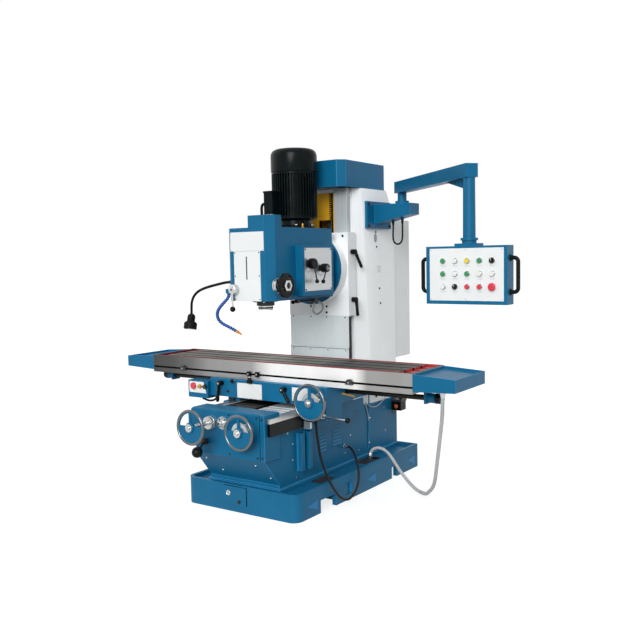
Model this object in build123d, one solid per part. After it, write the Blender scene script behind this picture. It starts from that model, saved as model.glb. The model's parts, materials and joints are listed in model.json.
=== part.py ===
from build123d import *
import math
import os

# Bed type milling machine. All sizes are in millimetres. X runs along the table, Y runs from the
# operator towards the column and Z is up. The origin is on the floor, below the middle of the table,
# on the machine's centre plane.

# Fits
RUN = 0.05  # radial clearance of a shaft in its bore
GAP = 0.3  # free gap between pieces that pass each other

# Base pan
BASE_HALF_WIDTH = 422.0
BASE_FRONT = -511.0
BASE_HEIGHT = 164.0
BASE_CORNER = 60.0
BASE_RIM = 22.0
BASE_REAR_RIM = 12.0
BASE_TROUGH = 24.0
BASE_DECK = 30.0
BASE_WALL = 30.0
FORK_HEIGHT = 76.0
FORK_FRONT_Y = -184.0
FORK_FRONT_WIDTH = 167.0
FORK_REAR_Y = 623.0
FORK_REAR_WIDTH = 70.0
POCKET_DEPTH = 16.0
POCKET_BOTTOM = 34.0
POCKET_HEIGHT = 72.0
POCKET_LENGTH = 84.0
POCKET_ENDS = (-306.0, 74.0, 366.0, 905.0)  # Y of each side pocket's rear wall
COVER_X = -26.0
COVER_WIDTH = 169.0
COVER_BOTTOM = 47.0
COVER_HEIGHT = 107.0
COVER_THICK = 4.0
ANCHOR_BORE = 10.0
ANCHOR_PAD = 34.0
ANCHOR_INSET = 66.0
BASE_RIB = 30.0  # cross rib on the floor, below the table's middle
STRAINER_LENGTH = 200.0
STRAINER_WIDTH = 110.0
STRAINER_THICK = 2.0
STRAINER_OFFSET_X = 34.0
STRAINER_OFFSET_Y = -60.0

# Bed and its two guide rails
BED_SETBACK = 14.0  # bed side behind the gearbox's side
BED_FRONT = -460.0
BED_REAR = 950.0
BED_TOP = 500.0
BED_WALL = 25.0
BED_FLANGE = 12.0
BED_FLANGE_HEIGHT = 26.0
SKIRT_BOTTOM = 190.0
RAIL_WIDTH = 55.0
RAIL_HEIGHT = 100.0
RAIL_REAR = 430.0
RAIL_NOSE = 19.0
RAIL_NOSE_GAP = 2.0  # nose to the gearbox's side
RAIL_FRONT = -579.0
RIB_WIDTH = 44.0
RIB_DEPTH = 10.0
RIB_PITCH = 70.0
RIB_Y = -222.0
RIB_BOTTOM = 232.0
RIB_HEIGHT = 232.0
WAY_COVER_THICK = 4.0
WAY_COVER_DROP = 2.0
WAY_COVER_REAR = 340.0
WAY_COVER_SLIT = 36.0
WAY_COVER_SLIT_X = 18.0
WAY_COVER_LIP = 5.0

# Front feed gearbox with its handwheels
BOX_HALF_WIDTH = 279.0
BOX_FRONT = -604.0
BOX_BOTTOM = 358.0
BOX_TOP = 625.0
BOX_WALL = 14.0
BOX_CUT = 60.0
BOX_STRIP = 33.0
BOX_COVER_THICK = 12.0
BOX_COVER_MARGIN = 4.0
VERTICAL_WHEEL_X = -108.0
VERTICAL_WHEEL_Z = 553.0
VERTICAL_WHEEL_Y = -790.0
CROSS_WHEEL_X = 163.0
CROSS_WHEEL_Z = 531.0
CROSS_WHEEL_Y = -690.0
CRANK_STUB_X = -22.0
CRANK_STUB_Z = 556.0
FLANGE_RADIUS = 38.0
FLANGE_THICK = 12.0
WHEEL_RADIUS = 104.0
TABLE_WHEEL_RADIUS = 112.0
WHEEL_RIM = 16.0
WHEEL_RIM_THICK = 18.0
WHEEL_WEB = 8.0
WHEEL_HUB = 24.0
WHEEL_HUB_LENGTH = 34.0
SHAFT_RADIUS = 13.0
SHAFT_GRIP = 12.0  # length of a shaft inside its wall
DIAL_RADIUS = 37.0
DIAL_LENGTH = 30.0
ENGAGE_X = -160.0
ENGAGE_Z = 432.0
ENGAGE_SWING = (52.0, -136.0, -32.0)  # from the lever's bore to its ball
ENGAGE_BALL_RADIUS = 32.0
ENGAGE_HUB = 18.0

# Saddle
SADDLE_HALF_LENGTH = 450.0
SADDLE_HALF_WIDTH = 235.0
SADDLE_PASS = 3.0  # clearance of the saddle over the gearbox and below the lips
PAD_SETBACK = 47.0  # way pads behind the saddle's front, clear of the gearbox
CHEEK_THICK = 44.0
CHEEK_DROP = 22.0  # cheek below the rail's underside
TONGUE_HALF_WIDTH = 90.0
TONGUE_HEIGHT = 28.0
FEED_BOX_HEIGHT = 83.0
FEED_BOX_DEPTH = 175.0
JUNCTION_WIDTH = 44.0
JUNCTION_DEPTH = 27.0
JUNCTION_HEIGHT = 50.0
JUNCTION_OUT = 5.0  # junction box past the cheek
JUNCTION_RISE = 12.0  # and above the cheek's bottom
TABLE_WHEEL_X = 408.0
TABLE_WHEEL_Z = 667.0
TABLE_WHEEL_Y = -345.0
TABLE_LEVER_X = 425.0
TABLE_LEVER_Z = 578.0
TABLE_LEVER_SWING = (207.0, -51.0, -2.0)
TABLE_LEVER_BALL = 16.0
TABLE_LEVER_HUB = 15.0
TABLE_LEVER_ROD = 6.0
CONTROL_LENGTH = 170.0
CONTROL_FRONT = -262.0
CONTROL_DEPTH = 120.0
CONTROL_BOTTOM = 608.0
CONTROL_HEIGHT = 112.0
CONTROL_WALL = 5.0
CONTROL_BUTTON_Z = 684.0
ESTOP_X = -569.0
START_X = -513.0
STOP_X = -472.0
CLAMP_HUB = 17.0
CLAMP_REACH = 38.0
CLAMP_ROD = 8.0
CLAMP_TIP = 11.0
LEFT_CLAMP = (-350.0, 715.0)
LEFT_CLAMP_SWING = (-16.0, -111.0)
RIGHT_CLAMP = (152.0, 711.0)
RIGHT_CLAMP_SWING = (44.0, -66.0)

# Table with its end trays and feed screw
TABLE_LENGTH = 2000.0
TABLE_WIDTH = 400.0
TABLE_THICK = 116.0
TABLE_TOP = 858.0
SLOT_PITCH = 100.0
SLOT_NECK = 18.0
SLOT_NECK_DEPTH = 20.0
SLOT_HEAD = 30.0
SLOT_HEAD_DEPTH = 14.0
TROUGH_WIDTH = 24.0
TROUGH_DEPTH = 14.0
TROUGH_RIM = 12.0
END_TROUGH_WIDTH = 86.0
DOG_GROOVE_Z = 779.0
DOG_GROOVE_HEIGHT = 12.0
DOG_GROOVE_DEPTH = 10.0
TRAY_LENGTH = 256.0
TRAY_BOTTOM = 92.0  # below the table top, at the far end
TRAY_INNER_BOTTOM = 102.0  # and beside the table
TRAY_INNER_DROP = 4.0
TRAY_OUTER_DROP = 19.0
TRAY_WALL = 6.0
TRAY_DEPTH = 16.0
TRAY_FLOOR = 6.0
SCREW_Z = 693.0
SCREW_RADIUS = 16.0
SCREW_JOURNAL = 14.0
SCREW_TUNNEL = 24.0
SCREW_NUT_LENGTH = 80.0
BRACKET_LENGTH = 16.0
BRACKET_HALF_WIDTH = 34.0
BRACKET_BOTTOM = 662.0
BRACKET_BOSS = 28.0
BRACKET_BOSS_LENGTH = 84.0

# Column with its ways, cap and cabinet
COLUMN_HALF_WIDTH = 262.0
COLUMN_FRONT = 460.0
COLUMN_TOP = 1955.0
COLUMN_WALL = 40.0
COLUMN_FRONT_WALL = 60.0
CHAMFER_START = 215.0
CHAMFER_TOP_Y = 515.0
CHAMFER_FOOT_Y = 619.0
SLOPE_HEIGHT = 205.0
SLOPE_TOP_Y = 838.0
WINDOW_HALF_WIDTH = 105.0
WINDOW_BOTTOM = 640.0
WINDOW_TOP_MARGIN = 22.0
WAY_INNER = 110.0
WAY_OUTER = 210.0
WAY_THICK = 55.0
WAY_UNDERCUT = 20.0
WAY_BOTTOM = 640.0
LIFT_SCREW_Y = 520.0
LIFT_SCREW_RADIUS = 25.0
LIFT_JOURNAL = 20.0
LIFT_SHELF = 40.0
LIFT_SHELF_HALF_WIDTH = 90.0
LIFT_SHELF_REAR = 600.0
CAP_HALF_WIDTH = 255.0
CAP_FRONT = 287.0
CAP_REAR = 824.0
CAP_HEIGHT = 173.0
CAP_CHAMFER = 44.0
CAP_WALL = 6.0
CABINET_HALF_WIDTH = 256.0
CABINET_DEPTH = 230.0
CABINET_BOTTOM = 775.0
CABINET_RISE = 7.0  # cabinet top above the foot of the column's slope
CABINET_WALL = 12.0
DOOR_THICK = 16.0
DOOR_MARGIN = 10.0
DOOR_HINGE = 7.0
DOOR_HANDLE = 9.0

# Head slide and way panels
SLIDE_HALF_WIDTH = 240.0
SLIDE_FRONT = 365.0
SLIDE_BOTTOM = 1115.0
SLIDE_TOP = 1663.0
SLIDE_CHEEK_REAR = 456.0
NUT_HALF_WIDTH = 45.0
NUT_HEIGHT = 70.0
NUT_REAR = 568.0
PANEL_HALF_WIDTH = 237.0
PANEL_THICK = 2.0
PANEL_SEAM = 907.0
PANEL_FLANGE = 24.0
PANEL_FLANGE_THICK = 5.0
LOWER_PANEL_STAND_OFF = 5.0  # in front of the slide's face
LOWER_PANEL_BOTTOM = 600.0
LOWER_FOOT_HALF_WIDTH = 150.0
LOWER_FOOT_THICK = 20.0
UPPER_LEVER = (406.0, 1535.0)
UPPER_LEVER_SWING = (72.0, -95.0)
LOWER_LEVER = (409.0, 1221.0)
LOWER_LEVER_SWING = (15.0, -99.0)

# Head with swivel disc
SWIVEL_Z = 1428.0
DISC_RADIUS = 235.0
HEAD_HALF_WIDTH = 175.0
HEAD_FRONT = -375.0
HEAD_REAR = 275.0
HEAD_BOTTOM = 1250.0
HEAD_TOP = 1686.0
HEAD_CHAMFER = 45.0
HEAD_WALL = 22.0
TOP_COVER_LEFT = 10.0
TOP_COVER_REAR = -265.0
TOP_COVER_HEIGHT = 71.0
FRONT_COVER_HALF_WIDTH = 100.0
FRONT_COVER_TOP = 1547.0
FRONT_COVER_THICK = 4.0
SCALE_SLOT_X = -4.0
SCALE_SLOT_WIDTH = 9.0
SCALE_SLOT_BOTTOM = 1380.0
SCALE_SLOT_TOP = 1515.0
SPINDLE_Y = -210.0
QUILL_RADIUS = 55.0
QUILL_BOTTOM = 1215.0
QUILL_TOP = 1500.0
QUILL_TRAVEL = 105.0
QUILL_TUBE_WALL = 24.0
QUILL_TUBE_TOP = 1480.0
SPINDLE_RADIUS = 32.0
SPINDLE_NOSE = 44.0
SPINDLE_NOSE_LENGTH = 24.0
SPINDLE_TOP = 1655.0
SPINDLE_SPLINE = 20.0
TAPER_MOUTH = 22.2
TAPER_END = 8.5
TAPER_DEPTH = 93.0
FINE_WHEEL_Y = -322.0
FINE_WHEEL_Z = 1342.0
FINE_WHEEL_RADIUS = 74.0
FINE_WHEEL_X = 244.0
FINE_WHEEL_THICK = 20.0
FINE_DIAL_RADIUS = 42.0
FINE_DIAL_LENGTH = 24.0
QUILL_LEVER = (-95.0, 1320.0)
QUILL_LEVER_SWING = (2.0, -117.0)
QUILL_LEVER_HUB = 33.0
QUILL_LEVER_REACH = 40.0
QUILL_LEVER_ROD = 6.0
QUILL_LEVER_BALL = 17.0
FRONT_SELECTOR_HUB = 32.0
REAR_SELECTOR_HUB = 27.0
SELECTOR_REACH = 54.0
SELECTOR_STEP = 6.0  # rear selector further out than the front one
SELECTOR_BALL = 13.0
SELECTOR_ROD = 5.0
FRONT_SELECTOR = (-77.0, 1466.0)
FRONT_SELECTOR_SWING = (31.0, -108.0)
REAR_SELECTOR = (53.0, 1437.0)
REAR_SELECTOR_SWING = (-41.0, -82.0)
SIDE_BOX_REACH = 55.0  # gear selector box on the head's right side
SIDE_BOX_FRONT = -127.0
SIDE_BOX_REAR = 205.0
SIDE_BOX_BOTTOM = 1270.0
SIDE_BOX_TOP = 1578.0

# Main motor
MOTOR_Y = 115.0
MOTOR_FLANGE = 122.0
MOTOR_FLANGE_HEIGHT = 59.0
MOTOR_RADIUS = 145.0
MOTOR_BODY_HEIGHT = 303.0
FAN_COVER_RADIUS = 148.0
FAN_COVER_HEIGHT = 142.0
FAN_COVER_ROUND = 40.0
TERMINAL_X = (-82.0, -12.0)
TERMINAL_REACH = 219.0  # box front before the motor's axis
TERMINAL_BOTTOM = 1775.0
TERMINAL_HEIGHT = 145.0

# Work lamp on its gooseneck
LAMP_NECK = 8.5
LAMP_Y = -300.0
LAMP_ROUTE = ((-175.0, 1362.0), (-225.0, 1362.0), (-305.0, 1347.0), (-385.0, 1331.0), (-452.0, 1312.0),
              (-502.0, 1283.0), (-530.0, 1240.0), (-535.0, 1192.0), (-535.0, 1150.0))
LAMP_HEAD_LENGTH = 92.0
LAMP_HEAD_BACK = 24.0
LAMP_HEAD_FRONT = 42.0
LAMP_TILT = 12.0  # lamp head turned to the operator

# Segmented coolant hose, from a block on the head's front chamfer
COOLANT_RADIUS = 11.0
COOLANT_BLOCK_WIDTH = 28.0
COOLANT_BLOCK_DEPTH = 40.0
COOLANT_BLOCK_HEIGHT = 26.0
COOLANT_ROUTE = ((-160.0, -364.0, 1296.0), (-160.0, -364.0, 1274.0), (-184.0, -374.0, 1246.0),
                 (-222.0, -380.0, 1212.0), (-254.0, -372.0, 1176.0), (-266.0, -352.0, 1134.0),
                 (-248.0, -330.0, 1104.0), (-214.0, -310.0, 1084.0), (-176.0, -290.0, 1060.0),
                 (-140.0, -276.0, 1036.0))

# Pendant: bracket, arm, box and controls
PLATE_THICK = 18.0
PLATE_Y = 708.0
PLATE_WIDTH = 322.0
PLATE_DROP = 84.0  # plate top below the column top
PLATE_HEIGHT = 181.0
ARM_BRACKET_END = 549.0
ARM_BRACKET_WIDTH = 136.0
ARM_BRACKET_DROP = 105.0  # bracket top below the column top
ARM_BRACKET_DEEP = 130.0
ARM_BRACKET_SHALLOW = 74.0
PIVOT_X = 458.0
PIVOT_RADIUS = 30.0
PIVOT_SINK = 60.0
PIVOT_COLLAR = 46.0
PIVOT_COLLAR_HEIGHT = 18.0
ARM_RISE = 72.0  # beam above the bracket
ARM_HEIGHT = 75.0
ARM_WIDTH = 72.0
ARM_TAIL = 52.0
ARM_NOSE = 36.0
POST_X = 1228.0
POST_Y = 52.0
POST_TOP_RADIUS = 33.0
POST_FOOT_RADIUS = 35.0
POST_FOOT_Z = 1580.0
POST_COLLAR = 48.0
POST_COLLAR_HEIGHT = 14.0
GUSSET_LENGTH = 275.0
GUSSET_HEIGHT = 64.0
GUSSET_THICK = 10.0
PENDANT_WIDTH = 476.0
PENDANT_HEIGHT = 320.0
PENDANT_DEPTH = 92.0
PENDANT_BOTTOM = 1230.0
PENDANT_WALL = 5.0
PENDANT_FRONT_MARGIN = 52.0  # post axis to the front face
PENDANT_TOP_COLLAR = 64.0
PENDANT_FLANGE_WIDTH = 136.0
PENDANT_FLANGE_THICK = 14.0
BUTTON_RADIUS = 13.0
BUTTON_STEM = 10.0
BUTTON_HEAD = 11.0
BUTTON_TRAVEL = 4.0
BUTTON_STEM_LENGTH = 22.0
BUTTON_PITCH_X = 72.0
BUTTON_PITCH_Z = 71.0
BUTTON_MIDDLE_X = 10.0  # middle of the controls beside the post's axis
BUTTON_MIDDLE_Z = 1398.0
MUSHROOM_RADIUS = 22.0
SELECTOR_SWITCH_HEAD = 16.0
SELECTOR_SWITCH_GRIP = 6.0
HANDLE_ROD = 11.0
HANDLE_REACH = 54.0
HANDLE_HALF_HEIGHT = 92.0
HANDLE_ROUND = 22.0

# Free cords: black conduit from below the saddle's feed box to the bed and drain hose from the right tray to the
# base, with X from the bed's side where they leave it (the conduit's start with Z from the feed box's bottom),
# and conduit loop with Z from the pendant bracket's top
CONDUIT_RADIUS = 7.5
CONDUIT_START_RUN = ((95.0, -212.0, 0.0), (95.0, -212.0, -65.0))
CONDUIT_RUN = ((107.0, -210.0, 399.0), (127.0, -216.0, 306.0), (163.0, -190.0, 183.0), (191.0, -170.0, 115.0),
               (207.0, -129.0, 62.0), (215.0, -80.0, 37.0), (213.0, -27.0, 34.0), (203.0, 55.0, 60.0),
               (193.0, 101.0, 105.0), (179.0, 126.0, 161.0), (151.0, 152.0, 218.0), (112.0, 180.0, 262.0),
               (70.0, 205.0, 283.0), (42.0, 213.0, 286.0), (16.0, 213.0, 286.0))
GLAND_RADIUS = 13.0
HOSE_RADIUS = 11.0
HOSE_FITTING_RADIUS = 18.0
HOSE_START_RUN = ((35.0, 508.0, 150.0), (35.0, 508.0, 174.0), (51.0, 510.0, 202.0), (79.0, 514.0, 218.0),
                  (111.0, 517.0, 218.0))
HOSE_FLOOR_RUN = ((407.0, 517.0, 210.0), (436.0, 515.0, 192.0), (466.0, 508.0, 166.0), (502.0, 497.0, 130.0),
                  (546.0, 480.0, 91.0), (592.0, 460.0, 61.0), (640.0, 434.0, 37.0), (690.0, 405.0, 18.0),
                  (736.0, 376.0, 13.0), (776.0, 345.0, 17.0))
HOSE_UPPER_ROUTE = ((776.0, 345.0, 17.0), (816.0, 314.0, 21.0), (858.0, 270.0, 56.0), (900.0, 222.0, 90.0),
                    (938.0, 174.0, 130.0), (972.0, 126.0, 182.0), (1002.0, 80.0, 248.0), (1031.0, 36.0, 320.0),
                    (1057.0, 0.0, 390.0), (1082.0, -36.0, 463.0), (1106.0, -68.0, 532.0), (1130.0, -102.0, 606.0),
                    (1160.0, -156.0, 690.0), (1160.0, -156.0, 766.0))
LOOP_RADIUS = 6.0
LOOP_GLAND = 12.0
LOOP_GLAND_SINK = 30.0
LOOP_RUN = ((388.0, 708.0, -112.0), (388.0, 708.0, -156.0), (386.0, 706.0, -204.0), (389.0, 705.0, -246.0),
            (408.5, 704.0, -268.0), (437.5, 704.0, -268.0), (457.0, 705.0, -246.0), (460.0, 706.0, -200.0),
            (458.0, 708.0, -152.0), (458.0, 708.0, -105.0))


def block(x, y, z):
    """Box between the two ends given for each axis."""
    ends = (x, y, z)
    size = [b - a for a, b in ends]
    middle = [(a + b) / 2 for a, b in ends]
    return Pos(*middle) * Box(*size)


def span(middle, width):
    """The two ends of a width about its middle."""
    return (middle - width / 2, middle + width / 2)


def both(value):
    """The two ends of a size that is symmetric about zero."""
    return (-value, value)


def rod(axis, at, ends, radius):
    """Cylinder along one axis, through a point of the two other axes, between two ends."""
    middle = (ends[0] + ends[1]) / 2
    length = abs(ends[1] - ends[0])
    if axis == "x":
        return Pos(middle, at[0], at[1]) * Rot(0, 90, 0) * Cylinder(radius, length)
    if axis == "y":
        return Pos(at[0], middle, at[1]) * Rot(90, 0, 0) * Cylinder(radius, length)
    return Pos(at[0], at[1], middle) * Cylinder(radius, length)


def prism(axis, points, ends):
    """Prism along one axis over a closed outline of points of the two other axes."""
    start, end = ends
    if axis == "x":
        outline = [(start, u, v) for u, v in points]
        along = (1, 0, 0)
    elif axis == "y":
        outline = [(u, start, v) for u, v in points]
        along = (0, 1, 0)
    else:
        outline = [(u, v, start) for u, v in points]
        along = (0, 0, 1)
    face = make_face(Polyline(*outline, close=True))
    return extrude(face, amount=end - start, dir=along)


def bar(start, end, radius):
    """Round bar between two points."""
    line = Line(start, end)
    return sweep(Plane(origin=start, z_dir=line % 0) * Circle(radius), path=line)


def ball(at, radius):
    """Ball about a point."""
    return Pos(*at) * Sphere(radius)


def route(points):
    """Straight runs joined by arcs as large as the runs allow."""
    corners = [Vector(*p) for p in points]
    radii = []
    for before, corner, after in zip(corners, corners[1:], corners[2:]):
        turn = (corner - before).get_angle(after - corner)
        shorter = min((corner - before).length, (after - corner).length)
        radii.append(0.45 * shorter / math.tan(math.radians(turn) / 2))
    return FilletPolyline(*corners, radius=radii), radii


def tube(points, radius, name):
    """Solid round tube along a route of points."""
    path, radii = route(points)
    solid = sweep(Plane(origin=path @ 0, z_dir=path % 0) * Circle(radius), path=path)
    expected = math.pi * radius**2 * path.length
    print(f"{name}: length {path.length:.0f} mm, smallest radius {min(radii):.0f} mm, "
          f"volume {solid.volume / expected:.3f} of section times length")
    return solid


# Levels and faces that several pieces share
BED_HALF_WIDTH = BOX_HALF_WIDTH - BED_SETBACK
RAIL_OUTER = BOX_HALF_WIDTH + RAIL_NOSE_GAP + RAIL_NOSE
RAIL_INNER = RAIL_OUTER - RAIL_WIDTH
BASE_REAR = BED_REAR + BASE_REAR_RIM
DECK_TOP = BASE_HEIGHT - BASE_TROUGH
RAIL_TOP = BED_TOP + RAIL_HEIGHT
APRON_BOTTOM = BOX_TOP + SADDLE_PASS
FEED_BOX_BOTTOM = APRON_BOTTOM - FEED_BOX_HEIGHT
CHEEK_INNER = RAIL_OUTER + GAP
CHEEK_OUTER = CHEEK_INNER + CHEEK_THICK
TABLE_BOTTOM = TABLE_TOP - TABLE_THICK
BOX_REAR = BED_FRONT
BOX_BODY_FRONT = BOX_FRONT + BOX_COVER_THICK
WAY_FRONT = COLUMN_FRONT - WAY_THICK
SIDE_BOX_FACE = HEAD_HALF_WIDTH + SIDE_BOX_REACH
MOTOR_BODY_Z = HEAD_TOP + MOTOR_FLANGE_HEIGHT
FAN_COVER_Z = MOTOR_BODY_Z + MOTOR_BODY_HEIGHT
CAP_TOP = COLUMN_TOP + CAP_HEIGHT
SLOPE_START_Z = COLUMN_TOP - SLOPE_HEIGHT
WINDOW_TOP = COLUMN_TOP - WINDOW_TOP_MARGIN
CABINET_TOP = SLOPE_START_Z + CABINET_RISE
LOWER_PANEL_FRONT = SLIDE_FRONT - LOWER_PANEL_STAND_OFF
PLATE_BOTTOM = COLUMN_TOP - PLATE_DROP - PLATE_HEIGHT
ARM_BRACKET_TOP = COLUMN_TOP - ARM_BRACKET_DROP
PIVOT_BOTTOM = ARM_BRACKET_TOP - PIVOT_SINK
ARM_BOTTOM = ARM_BRACKET_TOP + ARM_RISE
PENDANT_FRONT = POST_Y - PENDANT_FRONT_MARGIN
PENDANT_TOP = PENDANT_BOTTOM + PENDANT_HEIGHT
SADDLE_FRONT = -SADDLE_HALF_WIDTH
COVER_TOP = RAIL_TOP - WAY_COVER_DROP
CONDUIT_ROUTE = tuple((BED_HALF_WIDTH + x, y, FEED_BOX_BOTTOM + z) for x, y, z in CONDUIT_START_RUN)
CONDUIT_ROUTE += tuple((BED_HALF_WIDTH + x, y, z) for x, y, z in CONDUIT_RUN)
HOSE_LOWER_ROUTE = tuple((BED_HALF_WIDTH + x, y, z) for x, y, z in HOSE_START_RUN) + HOSE_FLOOR_RUN
LOOP_ROUTE = tuple((x, y, ARM_BRACKET_TOP + z) for x, y, z in LOOP_RUN)


def make_base():
    """Base pan: hollow below, with a trough on top, fork notches, side pockets and anchor pads."""
    length = BASE_REAR - BASE_FRONT
    outline = Pos(0, BASE_FRONT + length / 2) * Rectangle(2 * BASE_HALF_WIDTH, length)
    outline = fillet(outline.vertices().sort_by(Axis.Y)[:2], BASE_CORNER)
    body = extrude(outline, amount=BASE_HEIGHT, dir=(0, 0, 1))
    inside = offset(outline, amount=-BASE_RIM)
    body -= Pos(0, 0, DECK_TOP) * extrude(inside, amount=BASE_TROUGH, dir=(0, 0, 1))
    open_x = both(BASE_HALF_WIDTH - BASE_RIM)
    body -= block(open_x, (0, BED_REAR), (DECK_TOP, BASE_HEIGHT))
    inner = BASE_HALF_WIDTH - BASE_WALL
    hollow_top = DECK_TOP - BASE_DECK
    body -= block(both(inner), (BASE_FRONT + BASE_WALL, BASE_REAR - BASE_WALL), (0, hollow_top))
    body += block(both(inner), span(0, BASE_RIB), (0, hollow_top))
    anchor_x = BASE_HALF_WIDTH - ANCHOR_INSET
    anchors = [(sx * anchor_x, y) for sx in (-1, 1) for y in (BASE_FRONT + ANCHOR_INSET, BASE_REAR - ANCHOR_INSET)]
    for at in anchors:
        body += rod("z", at, (0, hollow_top + BASE_DECK / 2), ANCHOR_PAD)
    for at in anchors:
        body -= rod("z", at, (0, BASE_HEIGHT), ANCHOR_BORE)
    wide = both(BASE_HALF_WIDTH + BASE_WALL)
    body -= block(wide, span(FORK_FRONT_Y, FORK_FRONT_WIDTH), (0, FORK_HEIGHT))
    body -= block(wide, span(FORK_REAR_Y, FORK_REAR_WIDTH), (0, FORK_HEIGHT))
    for rear in POCKET_ENDS:
        for side in (-1, 1):
            face = side * BASE_HALF_WIDTH
            wedge = ((face, rear - POCKET_LENGTH), (face, rear), (face - side * POCKET_DEPTH, rear))
            body -= prism("z", wedge, (POCKET_BOTTOM, POCKET_BOTTOM + POCKET_HEIGHT))
    plate_z = (COVER_BOTTOM, COVER_BOTTOM + COVER_HEIGHT)
    body += block(span(COVER_X, COVER_WIDTH), (BASE_FRONT - COVER_THICK, BASE_FRONT), plate_z)
    x, y, top = HOSE_LOWER_ROUTE[0]
    strainer_x = span(x + STRAINER_OFFSET_X, STRAINER_WIDTH)
    strainer_y = span(y + STRAINER_OFFSET_Y, STRAINER_LENGTH)
    body += block(strainer_x, strainer_y, (DECK_TOP, DECK_TOP + STRAINER_THICK))
    return body + rod("z", (x, y), (DECK_TOP, top), HOSE_FITTING_RADIUS)


def make_bed():
    """Hollow bed casting with a foot flange, a sloping front skirt and side ribs."""
    profile = ((BED_FRONT, DECK_TOP), (BED_REAR, DECK_TOP), (BED_REAR, BED_TOP), (BED_FRONT, BED_TOP),
               (BED_FRONT, BOX_BOTTOM), (BOX_BODY_FRONT, BOX_BOTTOM), (BED_FRONT, SKIRT_BOTTOM))
    body = prism("x", profile, both(BED_HALF_WIDTH))
    hollow_y = (BED_FRONT + BED_WALL, BED_REAR - BED_WALL)
    body -= block(both(BED_HALF_WIDTH - BED_WALL), hollow_y, (DECK_TOP, BED_TOP - BED_WALL))
    flange_z = (DECK_TOP, DECK_TOP + BED_FLANGE_HEIGHT)
    outer = block(both(BED_HALF_WIDTH + BED_FLANGE), (BED_FRONT - BED_FLANGE, BED_REAR), flange_z)
    body += outer - block(both(BED_HALF_WIDTH - BED_WALL), hollow_y, flange_z)
    for offset_y in (-RIB_PITCH / 2, RIB_PITCH / 2):
        for side in (-1, 1):
            rib_x = sorted((side * BED_HALF_WIDTH, side * (BED_HALF_WIDTH + RIB_DEPTH)))
            body += block(rib_x, span(RIB_Y + offset_y, RIB_WIDTH), (RIB_BOTTOM, RIB_BOTTOM + RIB_HEIGHT))
    gland = CONDUIT_ROUTE[-1]
    body += rod("x", gland[1:], (BED_HALF_WIDTH, gland[0]), GLAND_RADIUS)
    return body


def make_bed_ways():
    """Two box rails on the bed, each with a nose along the gearbox's side."""
    rails = []
    for side in (-1, 1):
        rail_x = sorted((side * RAIL_INNER, side * RAIL_OUTER))
        nose_x = sorted((side * (RAIL_OUTER - RAIL_NOSE), side * RAIL_OUTER))
        rail = block(rail_x, (BED_FRONT, RAIL_REAR), (BED_TOP, RAIL_TOP))
        rails.append(rail + block(nose_x, (RAIL_FRONT, BED_FRONT), (BED_TOP, RAIL_TOP)))
    return Compound(children=rails)


def make_way_covers():
    """Two bright sheet covers between the rails, on a leg each, with a slit between them."""
    covers = []
    sheet_z = (COVER_TOP - WAY_COVER_THICK, COVER_TOP)
    along = (BOX_REAR, WAY_COVER_REAR)
    edges = (WAY_COVER_SLIT_X - WAY_COVER_SLIT / 2, WAY_COVER_SLIT_X + WAY_COVER_SLIT / 2)
    for side, edge in zip((-1, 1), edges):
        sheet = block(sorted((side * RAIL_INNER, edge)), along, sheet_z)
        leg_x = edge + side * 2 * WAY_COVER_SLIT
        leg = block(span(leg_x, WAY_COVER_THICK), along, (BED_TOP, COVER_TOP))
        covers.append(sheet + leg)
    return Compound(children=covers)


def make_gearbox():
    """Gearbox housing, open at the front, with its lower left corner cut off."""
    outline = ((-BOX_HALF_WIDTH, BOX_BOTTOM + BOX_CUT), (-BOX_HALF_WIDTH + BOX_CUT, BOX_BOTTOM),
               (BOX_HALF_WIDTH, BOX_BOTTOM), (BOX_HALF_WIDTH, BOX_TOP), (-BOX_HALF_WIDTH, BOX_TOP))
    body = prism("y", outline, (BOX_BODY_FRONT, BOX_REAR))
    body += block((BOX_HALF_WIDTH - BOX_STRIP, BOX_HALF_WIDTH), (BOX_FRONT, BOX_BODY_FRONT), (BOX_BOTTOM, BOX_TOP))
    cavity_x = (-BOX_HALF_WIDTH + BOX_CUT, BOX_HALF_WIDTH - BOX_STRIP - BOX_WALL)
    cavity_z = (BOX_BOTTOM + BOX_WALL, BOX_TOP - BOX_WALL)
    return body - block(cavity_x, (BOX_BODY_FRONT, BOX_REAR - BOX_WALL), cavity_z)


def make_gearbox_cover():
    """Front cover plate with three shaft flanges and the lever's bore."""
    low = BOX_BOTTOM + BOX_COVER_MARGIN
    high = BOX_TOP - BOX_COVER_MARGIN
    left = -BOX_HALF_WIDTH + BOX_COVER_MARGIN
    right = BOX_HALF_WIDTH - BOX_STRIP - BOX_COVER_MARGIN
    outline = ((left, low + BOX_CUT), (left + BOX_CUT, low), (right, low), (right, high), (left, high))
    plate = prism("y", outline, (BOX_FRONT, BOX_BODY_FRONT))
    shafts = ((VERTICAL_WHEEL_X, VERTICAL_WHEEL_Z), (CRANK_STUB_X, CRANK_STUB_Z), (CROSS_WHEEL_X, CROSS_WHEEL_Z))
    for at in shafts:
        plate += rod("y", at, (BOX_FRONT - FLANGE_THICK, BOX_FRONT), FLANGE_RADIUS)
    plate += rod("y", shafts[1], (BOX_FRONT - 3 * FLANGE_THICK, BOX_FRONT), SHAFT_RADIUS)
    for at in (shafts[0], shafts[2]):
        plate -= rod("y", at, (BOX_FRONT - FLANGE_THICK, BOX_BODY_FRONT), SHAFT_RADIUS + RUN)
    return plate - rod("y", (ENGAGE_X, ENGAGE_Z), (BOX_FRONT, BOX_BODY_FRONT), SHAFT_RADIUS + RUN)


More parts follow.
